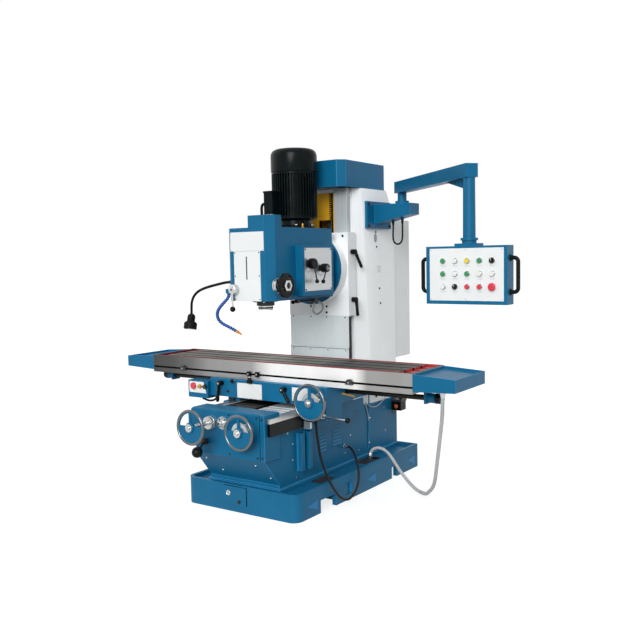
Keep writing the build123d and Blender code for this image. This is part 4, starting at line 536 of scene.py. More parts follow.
def cord(name, node, route, radius, pattern, m, bodies):
    """Ribbed tube on the route's smooth line, left free of any body when it spans more than one."""
    line = line_of(route)
    points, radii = steps(line, [(a, radius * r) for a, r in pattern])
    body = bodies[0] if len(bodies) == 1 else None
    o = Kit().sweep(points, radii, m).done(name, body, node, angle=60)
    if not body:
        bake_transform(o)


COUPLING_WAY, COUPLING_HALF = Vector((0.788, -0.610, 0.079)), 16
half = COUPLING_WAY * COUPLING_HALF
coupling = Kit().sweep([Vector(HOSE_UPPER[0]) + half * t for t in (-1, -0.86, -0.8, 0.8, 0.86, 1)],
    [11.4, 11.8, 12, 12, 11.8, 11.4], HOSE, 24).done("hose_coupling", "saddle")
cord("saddle_conduit_hose", "saddle_conduit", CONDUIT, CONDUIT_RADIUS, SPIRAL, RUBBER,
    ("saddle", "frame"))
cord("drain_hose_floor_run", "drain_hose_lower", HOSE_LOWER, HOSE_RADIUS, CORRUGATED, HOSE,
    ("frame", "saddle"))
cord("drain_hose_rising_run", "drain_hose_upper", HOSE_UPPER, HOSE_RADIUS, CORRUGATED, HOSE,
    ("saddle", "table"))
cord("pendant_loop_conduit", "pendant_conduit", LOOP, LOOP_RADIUS, SPIRAL, RUBBER, ("frame",))


def gland(name, body, axis, at, face, out, r, m=BLACK):
    """Strain relief and nut where a cord leaves a housing."""
    profile = [(0, 0), (r * 1.75, 0), (r * 1.75, 9), (r * 1.5, 10), (r * 1.5, 16), (r * 1.1, 34),
        (r * 1.04, 34)]
    Kit().band(axis, at, face, out, profile, m, 24).done(name, body)


gland("saddle_conduit_gland", "saddle", "z", CONDUIT[0][:2], 545, -1, CONDUIT_RADIUS)
gland("bed_conduit_gland", "frame", "x", CONDUIT[-1][1:], 277, 1, CONDUIT_RADIUS, BRIGHT)
gland("drain_tray_gland", "table", "z", HOSE_UPPER[-1][:2], 762, -1, HOSE_RADIUS, BRIGHT)
gland("drain_base_gland", "frame", "z", HOSE_LOWER[0][:2], 146, 1, HOSE_RADIUS, BRIGHT)
gland("pendant_gland_fixed", "frame", "z", LOOP[0][:2], 1744, -1, LOOP_RADIUS)
gland("pendant_gland_pivot", "frame", "z", LOOP[-1][:2], 1752, -1, LOOP_RADIUS)


k = Kit()

# Base: sight glass, drain plug and cover seam lines painted dark as shade in front, facets at the sides
# painted lighter blue as lit faces, strainers on the deck over a floor painted dark as shade
BASE_FRONT = -515
SEAM_DEPTH = (-516.2, -511)
clone("base", BLUE, 5, PALE_BLUE_HIGHLIGHT_AND_WEAR)
k.stud("y", (-75, 112), BASE_FRONT, -1, [(9, 2), (9.5, 6), (13, 8), (16, 5), (16, 0)], [GLASS, GLASS,
    BRIGHT, BRIGHT, BRIGHT, BRIGHT], 32)
k.stud("y", (4, 66), BASE_FRONT, -1, [(8, 14), (9, 13), (9, 5), (12, 4), (12, 0)], IRON, 6)
# the cover's seam lines are painted dark as shade
k.box((-112, 60), SEAM_DEPTH, (154.2, 155.8), SHADE_AND_MARKS)
k.box((58.6, 60.4), SEAM_DEPTH, (47, 154), SHADE_AND_MARKS)
k.done("base_front_fittings")
# the facet plates are painted lighter blue as lit faces
for rear in (-306, 366, 905):
    for side in (-1, 1):
        k.box(beside(side, 402, 421.6), (rear - 86, rear + 1), (32, 108), BLUE)
        k.prism("x", ((rear + 8, 30), (rear + 8, 89), (rear - 100, 71)), beside(side, 418, 423), LIT_BLUE_FACET)
# the pocket's rear wall is painted lighter blue as a lit face
for side in (-1, 1):
    k.box(beside(side, 406, 421.5), (72.8, 74.5), (36, 104), LIT_BLUE_FACET)
k.done("base_side_facets")
STRAINER_X, STRAINER_RIM, BAR_PITCH = 334, 7, 9
HOSE_CLEAR = 24  # room without bars about the drain hose
for n, (y, low, wide, long) in enumerate(((-88, 140, 52, 70), (448, 142, 54, 99))):
    x_ends, y_ends = (STRAINER_X - wide, STRAINER_X + wide), (y - long, y + long)
    # the floor under the grate is painted dark as shade
    k.box(x_ends, y_ends, (low - 1, low + 1.5), SHADE_AND_MARKS)
    for side in (-1, 1):
        rim = sorted((STRAINER_X + side * (wide - STRAINER_RIM), STRAINER_X + side * wide))
        k.box(rim, y_ends, (low, low + 5), IRON)
    for side in (-1, 1):
        k.box(x_ends, sorted((y + side * (long - STRAINER_RIM), y + side * long)), (low, low + 5), IRON)
    clear = 2 * (long - STRAINER_RIM)
    rows = int(clear / BAR_PITCH)
    for i in range(1, rows):
        at = y - long + STRAINER_RIM + i * clear / rows
        if n == 0 or abs(at - HOSE_LOWER[0][1]) > HOSE_CLEAR:
            k.box((x_ends[0] + 6, x_ends[1] - 6), (at - 2.2, at + 2.2), (low, low + 4), IRON)
    k.done("deck_strainer_%d" % (n + 1), "frame", bevel=0.6)

# Bed: louvres, rib faces and screws
BED_SIDE = 265
RIB_Z = (232, 464)
LOUVRES, LOUVRE_PITCH = 5, 22
SLOPE_FOOT, SLOPE_RUN, SLOPE_RISE = (-460, 190), 132, 168
clone("bed", BLUE, 4, PALE_BLUE_HIGHLIGHT_AND_WEAR)
for low, start, stop in ((300, -42, 30), (311, 104, 196)):
    for i in range(LOUVRES):
        z = low + i * LOUVRE_PITCH
        lip = ((0, 7), (4, 4), (7, -4), (5, -6), (0, -2))
        # the slats take the pale blue: a painted highlight on their lit lips
        k.prism("y", [(BED_SIDE + out, z + rise) for out, rise in lip], (start, stop), PALE_BLUE_HIGHLIGHT_AND_WEAR)
k.done("bed_louvres", bevel=1.5)
for side in (-1, 1):
    k.box(beside(side, 274, 298), (-279, -240), RIB_Z, BLUE)
    k.box(beside(side, 274, 305), (-209, -170), RIB_Z, BLUE)
k.done("bed_rib_faces", bevel=3)
for at in ((-374, 480), (-323, 406), (-327, 311), (-290, 196), (313, 335), (248, 229), (761, 443),
        (774, 280), (420, 210)):
    k.screw("x", at, BED_SIDE, 1, BRIGHT, 6, 4)
for x, z in ((-200, 320), (176, 320), (-125, 243), (236, 240)):
    slope_y = SLOPE_FOOT[0] - (z - SLOPE_FOOT[1]) * SLOPE_RUN / SLOPE_RISE
    k.ball((x, slope_y, z), 6, BRIGHT, 16)
k.done("bed_screws")

# Lubricator and its pipes on the bed's right side
k.box((266, 342), (868, 944), (408, 470), BLACK)
k.box((264, 346), (864, 948), (470, 486), IRON)
k.box((265, 268), (878, 934), (380, 500), IRON)
k.stud("y", (306, 438), 868, -1, [(13, 6), (15, 4), (15, 0)], [AMBER, AMBER, BRIGHT, BRIGHT], 28)
k.stud("z", (320, 906), 486, 1, [(10, 16), (13, 13), (13, 0)], BLACK, 20)
k.done("lubricator", bevel=2.0)
DOWN_PIPE = ((270, 553, 590), (270, 552, 560), (270, 550, 500), (270, 548, 400), (270, 543, 300),
    (270, 540, 225), (268, 540, 205), (262, 540, 198))
FRONT_TUBE = ((273, 430, 562), (272, 440, 541), (271, 470, 522), (270, 504, 508), (270, 525, 474),
    (270, 540, 424), (270, 547, 380))
REAR_TUBE = ((271, 504, 519), (272, 548, 490), (274, 600, 474), (275, 650, 472), (276, 700, 484),
    (278, 745, 508), (280, 775, 534))
for r, m, run in ((4.5, PALE_BLUE_HIGHLIGHT_AND_WEAR, DOWN_PIPE), (3, HOSE, FRONT_TUBE), (3, HOSE, REAR_TUBE)):
    k.sweep(line_of(run), r, m, 12)
for y, z in ((548, 410), (541, 240)):
    k.box((BED_SIDE, BED_SIDE + 12), (y - 8, y + 8), (z - 4, z + 4), BRIGHT)
k.done("lubrication_pipes", bevel=0.8)

# Bed ways and their covers
WAY_PAINT_TOP = 574
COVER_TOP = 597.6


def bed_way_look(c, n):
    if n.z > FACING or c.z > WAY_PAINT_TOP:
        return STEEL
    return BLACK if c.y < 0 else BLUE


clone("bed_ways", bed_way_look, 2, cuts=(("z", WAY_PAINT_TOP), ("y", 0)))
# painted reflections: the covers are bright on the right half and dark on the left half, and their lips
# follow
clone("bed_way_covers", lambda c, n: BRIGHT_REFLECTION_SHEET if c.x > 20 else SHADE_STEEL, 0.6)
for y in (-404, -352, -300, -248, 256, 306):
    lip = ((y - 4, COVER_TOP), (y - 3, COVER_TOP + 2), (y + 5, COVER_TOP + 1.6), (y + 8, COVER_TOP))
    for ends, m in (((-236, -4), IRON), ((40, 236), BRIGHT_REFLECTION_SHEET)):
        k.prism("x", lip, ends, m)
k.box((-236, -226), (-456, 336), (COVER_TOP, 600), BRIGHT_REFLECTION_SHEET)
k.done("way_cover_lips")

# Feed gearbox
BOX_FACE, FLANGE_FACE = -604, -616
SIGHT_SHAFT, CROSS_SHAFT, VERTICAL_SHAFT = (-22, 556), (163, 531), (-108, 553)
clone("feed_gearbox", BLUE, 4, PALE_BLUE_HIGHLIGHT_AND_WEAR)
clone("gearbox_cover", lambda c, n: ALU if c.y < BOX_FACE - 0.6 else BLUE, 1.5, PALE_BLUE_HIGHLIGHT_AND_WEAR)
for at in ((-262, 606), (-262, 440), (-200, 376), (226, 606), (226, 376), (20, 376), (20, 606), (-262, 520),
        (262, 600), (262, 380)):
    k.screw("y", at, BOX_FACE, -1, IRON, 6, 4)
for at in (SIGHT_SHAFT, CROSS_SHAFT, VERTICAL_SHAFT):
    for a in angles(4, pi / 4):
        k.screw("y", around(at, 28, a), FLANGE_FACE, -1, IRON, 4.5, 3)
k.stud("y", SIGHT_SHAFT, FLANGE_FACE, -1, [(8, 30), (11, 27), (13.6, 24), (13.6, 6), (17, 4), (17, 0)],
    BRIGHT)
k.done("gearbox_screws")

# Handwheels
APRON_FACE = -235


def handwheel(node, at, y, seat, ring=None, r=104):
    """Blue web from the solid, with a round bright rim, graduated dial, hub nut and clutch ring."""
    def away(c):
        return hypot(c.x - at[0], c.z - at[1])

    def pick(c, n):
        if abs(c.y - y) < 5 and away(c) > 25:
            return BLUE
        return ALU if away(c) > 30 and c.y > y + 30 else BRIGHT

    clone(node, pick, 1.5, drop=lambda c: abs(c.y - y) < 12 and away(c) > r - 16.8)
    k = Kit()
    k.ring("y", at, y, r - 8.5, 8.5, CHROME, wide=9)
    k.stud("y", at, y, -1, [(7, 27), (11, 24), (12, 19), (12, 16)], BRIGHT, 24)
    for out in (-1, 1):
        k.band("y", at, y, out, [(25, 14), (30, 10), (31, 3.5), (24, 3.5)], BLUE)
    k.ticks("y", at, 37.2, (seat - 30, seat - 17), 60, SHADE_AND_MARKS)
    k.band("y", at, seat, -1, [(37, 13), (38.6, 12), (38.6, 3), (37, 2)], BRIGHT)
    if ring:
        k.band("y", at, y, 1, [(26, 5), (ring, 5), (ring + 1, 7), (ring + 1, 15), (ring - 6, 16),
            (ring - 7, 13), (ring - 18, 13), (ring - 19, 16), (26, 16), (26, 5)], ALU, 48)
        k.ticks("y", at, ring + 1, (y + 6, y + 13), 48, SHADE_AND_MARKS)
    k.done(node + "_rim_and_dial", BODY[node])


handwheel("vertical_handwheel", VERTICAL_SHAFT, -790, FLANGE_FACE)
handwheel("cross_handwheel", CROSS_SHAFT, -690, FLANGE_FACE, 56)
handwheel("table_handwheel", (408, 667), -345, APRON_FACE, 56, 112)

# Ball levers of the feeds
FEED_KNOB = Vector((632, -286, 576))


def knob_lever(node, knob, r, rod):
    """Lever from its solid, with a black ball on a rod of another material."""
    clone(node, lambda c, n: BLACK if (c - knob).length < r * 1.03 else rod, 0.8, angle=30)


knob_lever("feed_engage_lever", Vector((-108, -740, 400)), 32, IRON)
knob_lever("table_feed_lever", FEED_KNOB, 16, BRIGHT)
k.stud("y", (425, 578), APRON_FACE, -1, [(10, 33), (13, 31), (19, 27), (19, 5), (23, 3), (23, 0)], BRIGHT)
k.done("table_feed_boss", "saddle")
Kit().ball(FEED_KNOB, 16.5, BLACK).done("table_feed_lever_knob", "table_feed_lever")


# Saddle: bare plates, screws, wipers and the control box's conduit
def saddle_look(c, n):
    if c.y < APRON_FACE - 0.5 and c.z < 541:
        return ALU
    return STEEL if c.z > 742.2 else BLUE


clone("saddle", saddle_look, 3.5, PALE_BLUE_HIGHLIGHT_AND_WEAR)
k.box((-224, -27), (-236.6, -234), (630, 725), PLATE)
k.box((205, 328), (-236.6, -234), (646, 728), PLATE)
k.pins(((-218, 719), (-33, 719), (-218, 636), (-33, 636), (211, 722), (322, 722), (211, 652), (322, 652)),
    APRON_FACE - 3, APRON_FACE, 2.2, 3)
k.block((450.4, 9.5, 663), (0.9, 0, 0), (0, 73, -21), (0, 1.2, 4.5), YELLOW)
k.done("saddle_bare_plates", "saddle", bevel=0.5)
k.rod("y", (-245, 733), (-252, APRON_FACE), 6, BRIGHT)
k.ball((-245, -262, 736), 13, BLACK)
k.screw("y", (-302, 664), APRON_FACE, -1, IRON, 9, 6)
k.done("saddle_screws", "saddle")
for side in (-1, 1):
    k.box(beside(side, 283, 322), (-196, -188), (600.6, 627), RUBBER)
    k.box(beside(side, 284, 321), (-199, -196), (604, 626), IRON)
k.done("way_wipers", "saddle", bevel=1.0)
k.sweep(line_of(((-548, -196, 612), (-548, -196, 598), (-536, -194, 584), (-500, -190, 578),
    (-462, -186, 586), (-442, -184, 606), (-438, -184, 632))), 7, RUBBER, 12)
k.stud("z", (-548, -196), 609, -1, [(13, 0), (13, 9), (10, 11), (10, 19), (7.5, 25)], BLACK, 24)
k.done("control_box_conduit", "saddle")

# Control box on the saddle
PANEL_BACK, BUTTON_Z = -261, 684
clone("control_box", BLUE_SHEET, 4, PALE_BLUE_HIGHLIGHT_AND_WEAR)
k.prism("y", ((-612, 640), (-466, 640), (-470, 664), (-486, 712), (-612, 712)), (-262.25, PANEL_BACK),
    PLATE)
k.pins(((-606, 706), (-606, 646), (-474, 646), (-492, 706)), PANEL_BACK - 2.8, PANEL_BACK, 2.4, 3.2)
for x, r, m in ((-569, 27.5, WHITE_CAP), (-513, 17, BRIGHT), (-472, 17, BLACK)):
    inner = r * 0.82
    k.band("y", (x, BUTTON_Z), PANEL_BACK, -1, [(inner, 0), (r, 0), (r, 3), (r - 1, 4), (inner, 4),
        (inner, 0)], m, 32)
k.done("control_box_panel", "saddle", bevel=0.4)
clone("box_estop", RED_CAP, 4)
clone("box_start_button", BRASS, 2.5)
clone("box_stop_button", BLACK_CAP, 2.5)

# Table clamps
GRIP_Y = -265
for name, (x, z), (dx, dz) in (("table_clamp_left", (-350, 715), (-16, -111)), ("table_clamp_right",
        (152, 711), (44, -66))):
    tip = (x + dx, GRIP_Y, z + dz)
    k.stud("y", (x, z), APRON_FACE, -1, [(12, 41), (16, 38), (17, 33), (17, 5), (14, 1)], BLACK)
    k.stud("y", (x, z), APRON_FACE, -1, [(6, 43), (7, 42), (7, 39)], BRIGHT, 6)
    k.taper((x, GRIP_Y, z), tip, (0, 0.25, 0.5, 0.8, 0.95, 1.05), [12, 10, 9.5, 10.5, 11.5, 9], BLACK)
    k.ball(tip, 11, BLACK)
    k.done(name + "_lever", name, name)

# Table with red troughs, trip dogs, stop block and screw end caps
TABLE_HALF, TABLE_TOP, TABLE_EDGE = 1000, 858, -200
TROUGH_X = 902.6
SLOT_PLACES, SLOT_HALF = (-100, 0, 100), 15.6


def table_look(c, n):
    on_plate = abs(c.x) < 901
    # the front groove is painted dark as shade
    if -199.6 < c.y < -189.5 and 772 < c.z < 786:
        return SHADE_AND_MARKS
    if 822 < c.z < TABLE_TOP - 0.4 and abs(c.x) < TABLE_HALF - 1 and abs(c.y) < 199.5:
        # the T-slots and the trough's lower walls are painted dark as shade
        if on_plate and min(abs(c.y - s) for s in SLOT_PLACES) < SLOT_HALF:
            return SHADE_STEEL
        return RED if c.z > 843 and (not on_plate or abs(c.y) > 163) else SHADE_STEEL
    if n.z > FACING and c.z > TABLE_TOP - 1:
        return TOP
    return FRONT if c.z < TABLE_TOP - 0.1 else STEEL


clone("table", table_look, 1.2, cuts=(("x", TROUGH_X), ("x", -TROUGH_X)))
clone("end_trays", BLUE_SHEET, 2, PALE_BLUE_HIGHLIGHT_AND_WEAR)
clone("screw_brackets", BLUE, 4)
# the table's screw is painted dark as shade under the table
clone("table_screw", SHADE_STEEL, 1)
DOG_FACE, STOP_FACE = -216, -214
for x in (-715, 596):
    dog = ((x - 26, 769), (x + 26, 769), (x + 20, 791), (x + 9, 799), (x - 9, 799), (x - 20, 791))
    k.prism("y", dog, (DOG_FACE, TABLE_EDGE), IRON)
    k.screw("y", (x, 781), DOG_FACE, -1, BRIGHT, 6, 5)
for x in (-150, -84):
    k.box((x - 13, x + 13), (STOP_FACE, TABLE_EDGE), (765, 797), BLACK)
    k.screw("y", (x, 780), STOP_FACE, -1, BRIGHT, 6, 5)
k.done("table_trip_dogs", "table", bevel=1.5)
k.box((-132, -100), (-252, APRON_FACE), (728, 752), BLACK)
k.box((-126, -106), (-250, -238), (752, 764), BLACK)
k.rod("z", (-116, -244), (744, 772), 6, BRIGHT)
k.done("table_stop_block", "saddle", bevel=2.0)
for side in (-1, 1):
    for y in (-150, -50, 50, 150):
        k.screw("x", (y, 790), side * TABLE_HALF, -side, IRON, 7, -1.5)
for side in (-1, 1):
    k.band("x", (0, 693), side * 1046, side, [(28, 0), (30, 2), (30, 12), (28.6, 14), (28.6, 18), (30, 20),
        (30, 30), (26, 38), (22, 42), (0, 44)], BLACK)
k.done("table_end_caps", "table")

# Column: yellow inside, ways with their outer sides painted black as shade below a height, screw thread and
# recess plate
WAY_SHADE_TOP = 1400
SCREW_AT, THREAD_PITCH, THREAD_TOP = (0, 520), 14, 1914


def column_look(c, n):
    walls = n.x * c.x < -0.5 * abs(c.x) or n.y < -0.9 and c.y > 600 or n.z < -0.9 and c.z > 1900
    return YELLOW if walls and abs(c.x) < 230 else WHITE


# painted shade: the ways' outer sides are black below this height
def column_way_look(c, n):
    return BLACK if n.x * c.x > FACING * abs(c.x) and c.z < WAY_SHADE_TOP else WAY


clone("column", column_look, 4, WHITE_EDGE)
clone("column_ways", column_way_look, 1.5, cuts=(("z", WAY_SHADE_TOP),))
profile = [(0, 600), (20, 600), (20, 640.5), (25, 640.5)]
z = 646.0
while z < THREAD_TOP:
    profile += [(25, z), (18.5, z + 3), (18.5, z + 7), (25, z + 10), (25, z + THREAD_PITCH)]
    z += THREAD_PITCH
profile += [(25, 1932.5), (20, 1932.5), (20, 1973), (0, 1973)]
Kit().turn("z", SCREW_AT, profile, IRON, 24).done("lift_screw_thread", "frame", "lift_screw", angle=25)
RECESS_Y, RECESS_HALF, RECESS_TOP = (461, 466), 104, 1932
# the lift nut passes between the side plates, below this height
NUT_TOP, NUT_PASS = 1752, 50
SIDE_PLATE_BOTTOM = 1560
TEETH, TOOTH_START, TOOTH_PITCH = 29, 1565.8, 12.6
k.box((-RECESS_HALF, RECESS_HALF), RECESS_Y, (NUT_TOP, RECESS_TOP), YELLOW)
k.box((-RECESS_HALF, RECESS_HALF), (575, 580), (1640, NUT_TOP), YELLOW)
for side in (-1, 1):
    k.box(beside(side, NUT_PASS, RECESS_HALF), RECESS_Y, (SIDE_PLATE_BOTTOM, NUT_TOP), YELLOW)
for i in range(TEETH):
    z = TOOTH_START + i * TOOTH_PITCH
    tip = NUT_PASS if z < 1750 else 36
    k.prism("y", ((62, z), (62, z + 10), (tip, z + 7.5), (tip, z + 2.5)), (457, 461), SHADE_AND_MARKS)
k.box((55, 66), (458.5, 461), (SIDE_PLATE_BOTTOM, RECESS_TOP), SHADE_AND_MARKS)
k.done("column_recess_plate")
clone("column_cap", BLUE_SHEET, 3, PALE_BLUE_HIGHLIGHT_AND_WEAR)

# Bare plates and screws on the column's sides
COLUMN_SIDE = 262
k.prism("x", [(680 + 17 * cos(a), 1628 + 30 * sin(a)) for a in angles(32)], (261, 265), SLATE)
k.box((261, 263), (700, 750), (1392, 1440), GREY)
for at in ((685, 1668), (695, 1568), (726, 1282), (739, 1179)):
    k.screw("x", at, COLUMN_SIDE, 1, IRON, 7, 4)
k.stud("x", (500, 1918), 222, 1, [(5, 14), (6, 11), (6, 0)], RED_CAP, 20)
for side in (-1, 1):
    for z in (540, 580):
        for y in (660, 780, 900):
            k.screw("x", (y, z), side * COLUMN_SIDE, side, IRON, 9, 7)
k.done("column_fittings", bevel=0.8)

# Electrical cabinet with its door, and the lower way panel
DOOR_FACE = 1196
VENTS, VENT_TOP, VENT_PITCH = 12, 1600, 14
clone("electrical_cabinet", WHITE_SHEET, 3, WHITE_EDGE)
clone("cabinet_door", lambda c, n: BLACK if c.y > DOOR_FACE + 0.6 else WHITE_SHEET, 2.5, WHITE_EDGE)
for z in (900, 1266, 1632):
    k.rod("z", (-249, 1187), (z - 32, z + 32), 7, BRIGHT, 20)
    k.box((-256, -244), (1150, 1182), (z - 28, z + 28), BRIGHT)
k.done("cabinet_hinges", bevel=1.0)
for i in range(VENTS):
    z = VENT_TOP - i * VENT_PITCH
    lip = ((DOOR_FACE, z + 5), (DOOR_FACE + 5, z), (DOOR_FACE + 4, z - 3), (DOOR_FACE, z - 1))
    for x in (-120, 60):
        k.prism("x", lip, (x - 70, x + 70), WHITE_SHEET)
        # the vent slots under the lips are painted dark as shade
        k.box((x - 66, x + 66), (DOOR_FACE - 0.4, DOOR_FACE + 0.8), (z - 5, z - 1), SHADE_AND_MARKS)
k.stud("y", (201, 1330), DOOR_FACE, 1, [(9, 8), (11, 6), (11, 0)], BRIGHT, 24)
k.done("cabinet_door_vents", "cabinet_door", bevel=0.6)
clone("lower_way_panel", GREY, 0.6)
lo, hi = (Vector(q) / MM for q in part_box("lower_way_panel"))
# the panel's seam is painted dark as shade
k.box((lo.x + 2, hi.x - 2), (lo.y - 0.5, lo.y + 1), (894.5, 897.5), SHADE_AND_MARKS)
for share in (-0.9, -0.3, 0.3, 0.9):
    k.screw("y", (share * hi.x, 884), lo.y, -1, IRON, 4, 2)
k.done("panel_seam")

# Head slide with its clamps
SLIDE_FACE, SLIDE_SIDE, CLAMP_X = 365, 240, 270
clone("head_slide", WHITE, 3, WHITE_EDGE)
clone("upper_way_panel", GREY, 0.6)
for x in (-214, -66, 63, 208):
    k.screw("y", (x, 1104), SLIDE_FACE, -1, IRON, 5, 1.6)
for at in ((64, 1175), (-64, 1175), (64, 1135), (200, 1640), (-200, 1640)):
    k.stud("y", at, SLIDE_FACE, -1, [(6, 1.8), (8, 1), (8, -1)], BLACK, 20)
k.done("slide_screws", "slide")
for name, (y, z), (dy, dz) in (("slide_clamp_upper", (406, 1535), (72, -95)), ("slide_clamp_lower",
        (409, 1221), (15, -99))):
    tip = (CLAMP_X, y + dy, z + dz)
    k.stud("x", (y, z), SLIDE_SIDE, 1, [(14, 0.5), (17, 4), (17, 32), (15, 37), (8, 39)], BLACK)
    k.taper((CLAMP_X, y, z), tip, (0, 0.2, 0.45, 0.8, 0.98, 1.08), [13, 11, 9.5, 10.5, 11, 8], BLACK)
    k.ball(tip, 11, BLACK)
    k.done(name + "_lever", name, name)

# Head: casting, front cover with bare nameplate and scale, swivel disc
DISC_SPLIT, COVER_FACE = 290, -379
clone("head_body", BLUE, 5, PALE_BLUE_HIGHLIGHT_AND_WEAR)
clone("head_front_cover", WHITE_SHEET, 1.2, WHITE_EDGE)
clone("swivel_disc", lambda c, n: BLUE if c.y < DISC_SPLIT else WHITE, 2, cuts=(("y", DISC_SPLIT),))
k.box((-127, 127), (-377.4, -374), (1548, 1661), PLATE)
k.pins(((-121, 1655), (121, 1655), (-121, 1554), (121, 1554)), -379, -375, 2.6, 3.6)
k.box((-8.3, 0.3), (-373, -370), (1380.4, 1514.6), SHADE_AND_MARKS)
k.box((-7.6, -0.4), (-377, -372), (1496, 1502), RED_CAP)
for x in (-92, 92):
    for z in (1262, 1400, 1538):
        k.screw("y", (x, z), COVER_FACE, -1, IRON, 4, 2)
k.done("head_nameplate_and_scale", "head", bevel=0.6)

# Speed selectors on their plate
SPEED_FACE = 231.6
MARK_X = SPEED_FACE + 0.2
X_AXIS = Vector((1, 0, 0))
SELECTOR_FRONT, SELECTOR_REAR = (-77, 1466), (53, 1437)
k.box((229, SPEED_FACE), (-112, 180), (1299, 1562), ALU)
for at in ((-104, 1554), (172, 1554), (-104, 1307), (172, 1307)):
    k.screw("x", at, SPEED_FACE, 1, IRON, 5, 3)
for (y, z), r in ((SELECTOR_FRONT, 46), (SELECTOR_REAR, 40)):
    for i in range(-3, 4):
        a = radians(-90 + i * 15)
        out = Vector((0, cos(a), sin(a)))
        mark = out * (6 if i % 3 == 0 else 3.5)
        k.block(Vector((MARK_X, y, z)) + out * (r + 6), (0.3, 0, 0), mark, out.cross(X_AXIS) * 0.9, SHADE_AND_MARKS)
    bow = [radians(-140 + 5 * i) for i in range(21)]
    k.sweep([Vector((MARK_X, *around((y, z), r, a))) for a in bow], 0.7, SHADE_AND_MARKS, 6)
k.done("selector_plate", "head", bevel=0.4)
for node, (y, z), (dy, dz), tip, r, m in (("speed_selector_front", SELECTOR_FRONT, (31, -108), 284, 32,
        BLACK), ("speed_selector_rear", SELECTOR_REAR, (-41, -82), 290, 27, CHROME)):
    k.turn("x", (y, z), [(0, 230.4), (r * 0.7, 230.4), (r * 0.72, 242), (r - 2, 246), (r, 249),
        (r, tip - 5), (r - 4, tip), (r * 0.66, tip), (r * 0.6, tip - 3), (0, tip - 3)],
        [BLACK] * 7 + [m, m])
    for a in angles(18):
        out = Vector((0, cos(a), sin(a)))
        k.block(Vector((tip - 20, y, z)) + out * (r - 0.4), (11, 0, 0), out * 0.9, out.cross(X_AXIS) * 2.2,
            BLACK)
    end = (tip - 10, y + dy, z + dz)
    k.taper((tip - 10, y, z), end, (0.1, 0.3, 0.6, 0.95), [6, 5, 4.5, 5], IRON, 16)
    k.ball(end, 13, BLACK)
    k.done(node + "_lever", node, node)

# Fine feed wheel: black disc with a bright six-sided ring and a graduated dial
FINE_AT, DISC_BACK, DIAL_SEAT = (-322, 1342), 236, 175
k.stud("x", FINE_AT, DISC_BACK, 1, [(60, 0), (70, -1), (74, 3), (74, 13), (70, 17.5), (63, 18), (58, 14),
    (34, 14), (30, 18)], BLACK, 64)
k.band("x", FINE_AT, DISC_BACK, 1, [(18, 18), (36, 18), (36, 25), (33, 28), (21, 28), (18, 18)], BRIGHT, 6)
k.stud("x", FINE_AT, DISC_BACK, 1, [(14, 21), (18, 19), (18, 18)], BLACK, 32)
k.stud("x", FINE_AT, DIAL_SEAT, 1, [(44, 0.4), (44, 8), (42, 9), (42, 24), (40, 25), (26, 27), (24, 61)],
    BRIGHT, 48)
k.ticks("x", FINE_AT, 42.2, (199, 186), 50, SHADE_AND_MARKS)
for degrees in (60, 200, 320):
    at = around(FINE_AT, 48, radians(degrees))
    k.stud("x", at, DISC_BACK, 1, [(6, 15.5), (7, 14)], IRON, 16)
k.done("fine_feed_wheel_disc", "fine_feed_wheel", "fine_feed_wheel")

# Quill lever with its bright round hub
HUB_AT, ROD_Y = (-95, 1320), -411
k.band("y", HUB_AT, COVER_FACE, -1, [(0, 40), (13, 40), (23, 37), (31, 30), (33, 23), (33, 6), (30, 1),
    (0, 0.5)], BRIGHT, 44)
k.stud("y", HUB_AT, COVER_FACE, -1, [(6, 42), (7, 40), (7, 38)], IRON, 6)
end = (-93, ROD_Y, 1203)
k.taper((HUB_AT[0], ROD_Y, HUB_AT[1]), end, (0.16, 0.3, 0.6, 0.9), [8, 7, 6, 5.5], BRIGHT, 18)
k.ball(end, 17, BLACK)
k.done("quill_lever_handle", "quill_lever", "quill_lever")

# Quill, spindle and the fittings under the head
SPINDLE_AT, HEAD_BOTTOM = (0, -210), 1250
clone("quill", IRON, 1.5)
# the spindle's bore is painted dark as shade
clone("spindle", lambda c, n: BRIGHT if hypot(c.x, c.y - SPINDLE_AT[1]) > 20 else SHADE_STEEL, 1)
for a in angles(2, 0.3):
    out = Vector((cos(a), sin(a), 0))
    k.block(Vector((*SPINDLE_AT, 1192)) + out * 34, out * 9, Vector((-out.y, out.x, 0)) * 7, (0, 0, 5),
        IRON)
k.turn("z", SPINDLE_AT, [(44.2, 1197), (46.5, 1198), (46.5, 1206), (44.2, 1207)], BLACK, 48)
k.done("spindle_keys", "spindle", bevel=0.8)
k.band("z", SPINDLE_AT, HEAD_BOTTOM, -1, [(58, 0), (82, 0), (82, 7), (79, 10), (58, 10), (58, 0)], IRON, 48)
for a in angles(6):
    k.screw("z", around(SPINDLE_AT, 70, a), HEAD_BOTTOM - 10, -1, BRIGHT, 6, 5)
k.done("quill_collar", "head")
SHAFT_AT = (100, 1228)
k.box((82, 118), (150, 190), (1212, HEAD_BOTTOM), IRON)
k.rod("y", SHAFT_AT, (-52, 150), 6, BLACK)
k.stud("y", SHAFT_AT, -50, -1, [(9, 22), (12, 16), (12, 6), (9, 0)], BLACK, 24)
k.box((88, 112), (-30, -6), (1220, HEAD_BOTTOM), IRON)
k.sweep(line_of(((100, 170, 1216), (100, 168, 1186), (96, 158, 1164), (92, 176, 1142), (90, 222, 1134),
    (92, 262, 1146), (98, 276, 1172), (104, 258, 1200), (106, 222, 1212), (106, 190, 1222),
    (106, 180, 1224))), 6.5, SLATE, 12)
k.done("head_underside_fittings", "head", bevel=1.5)

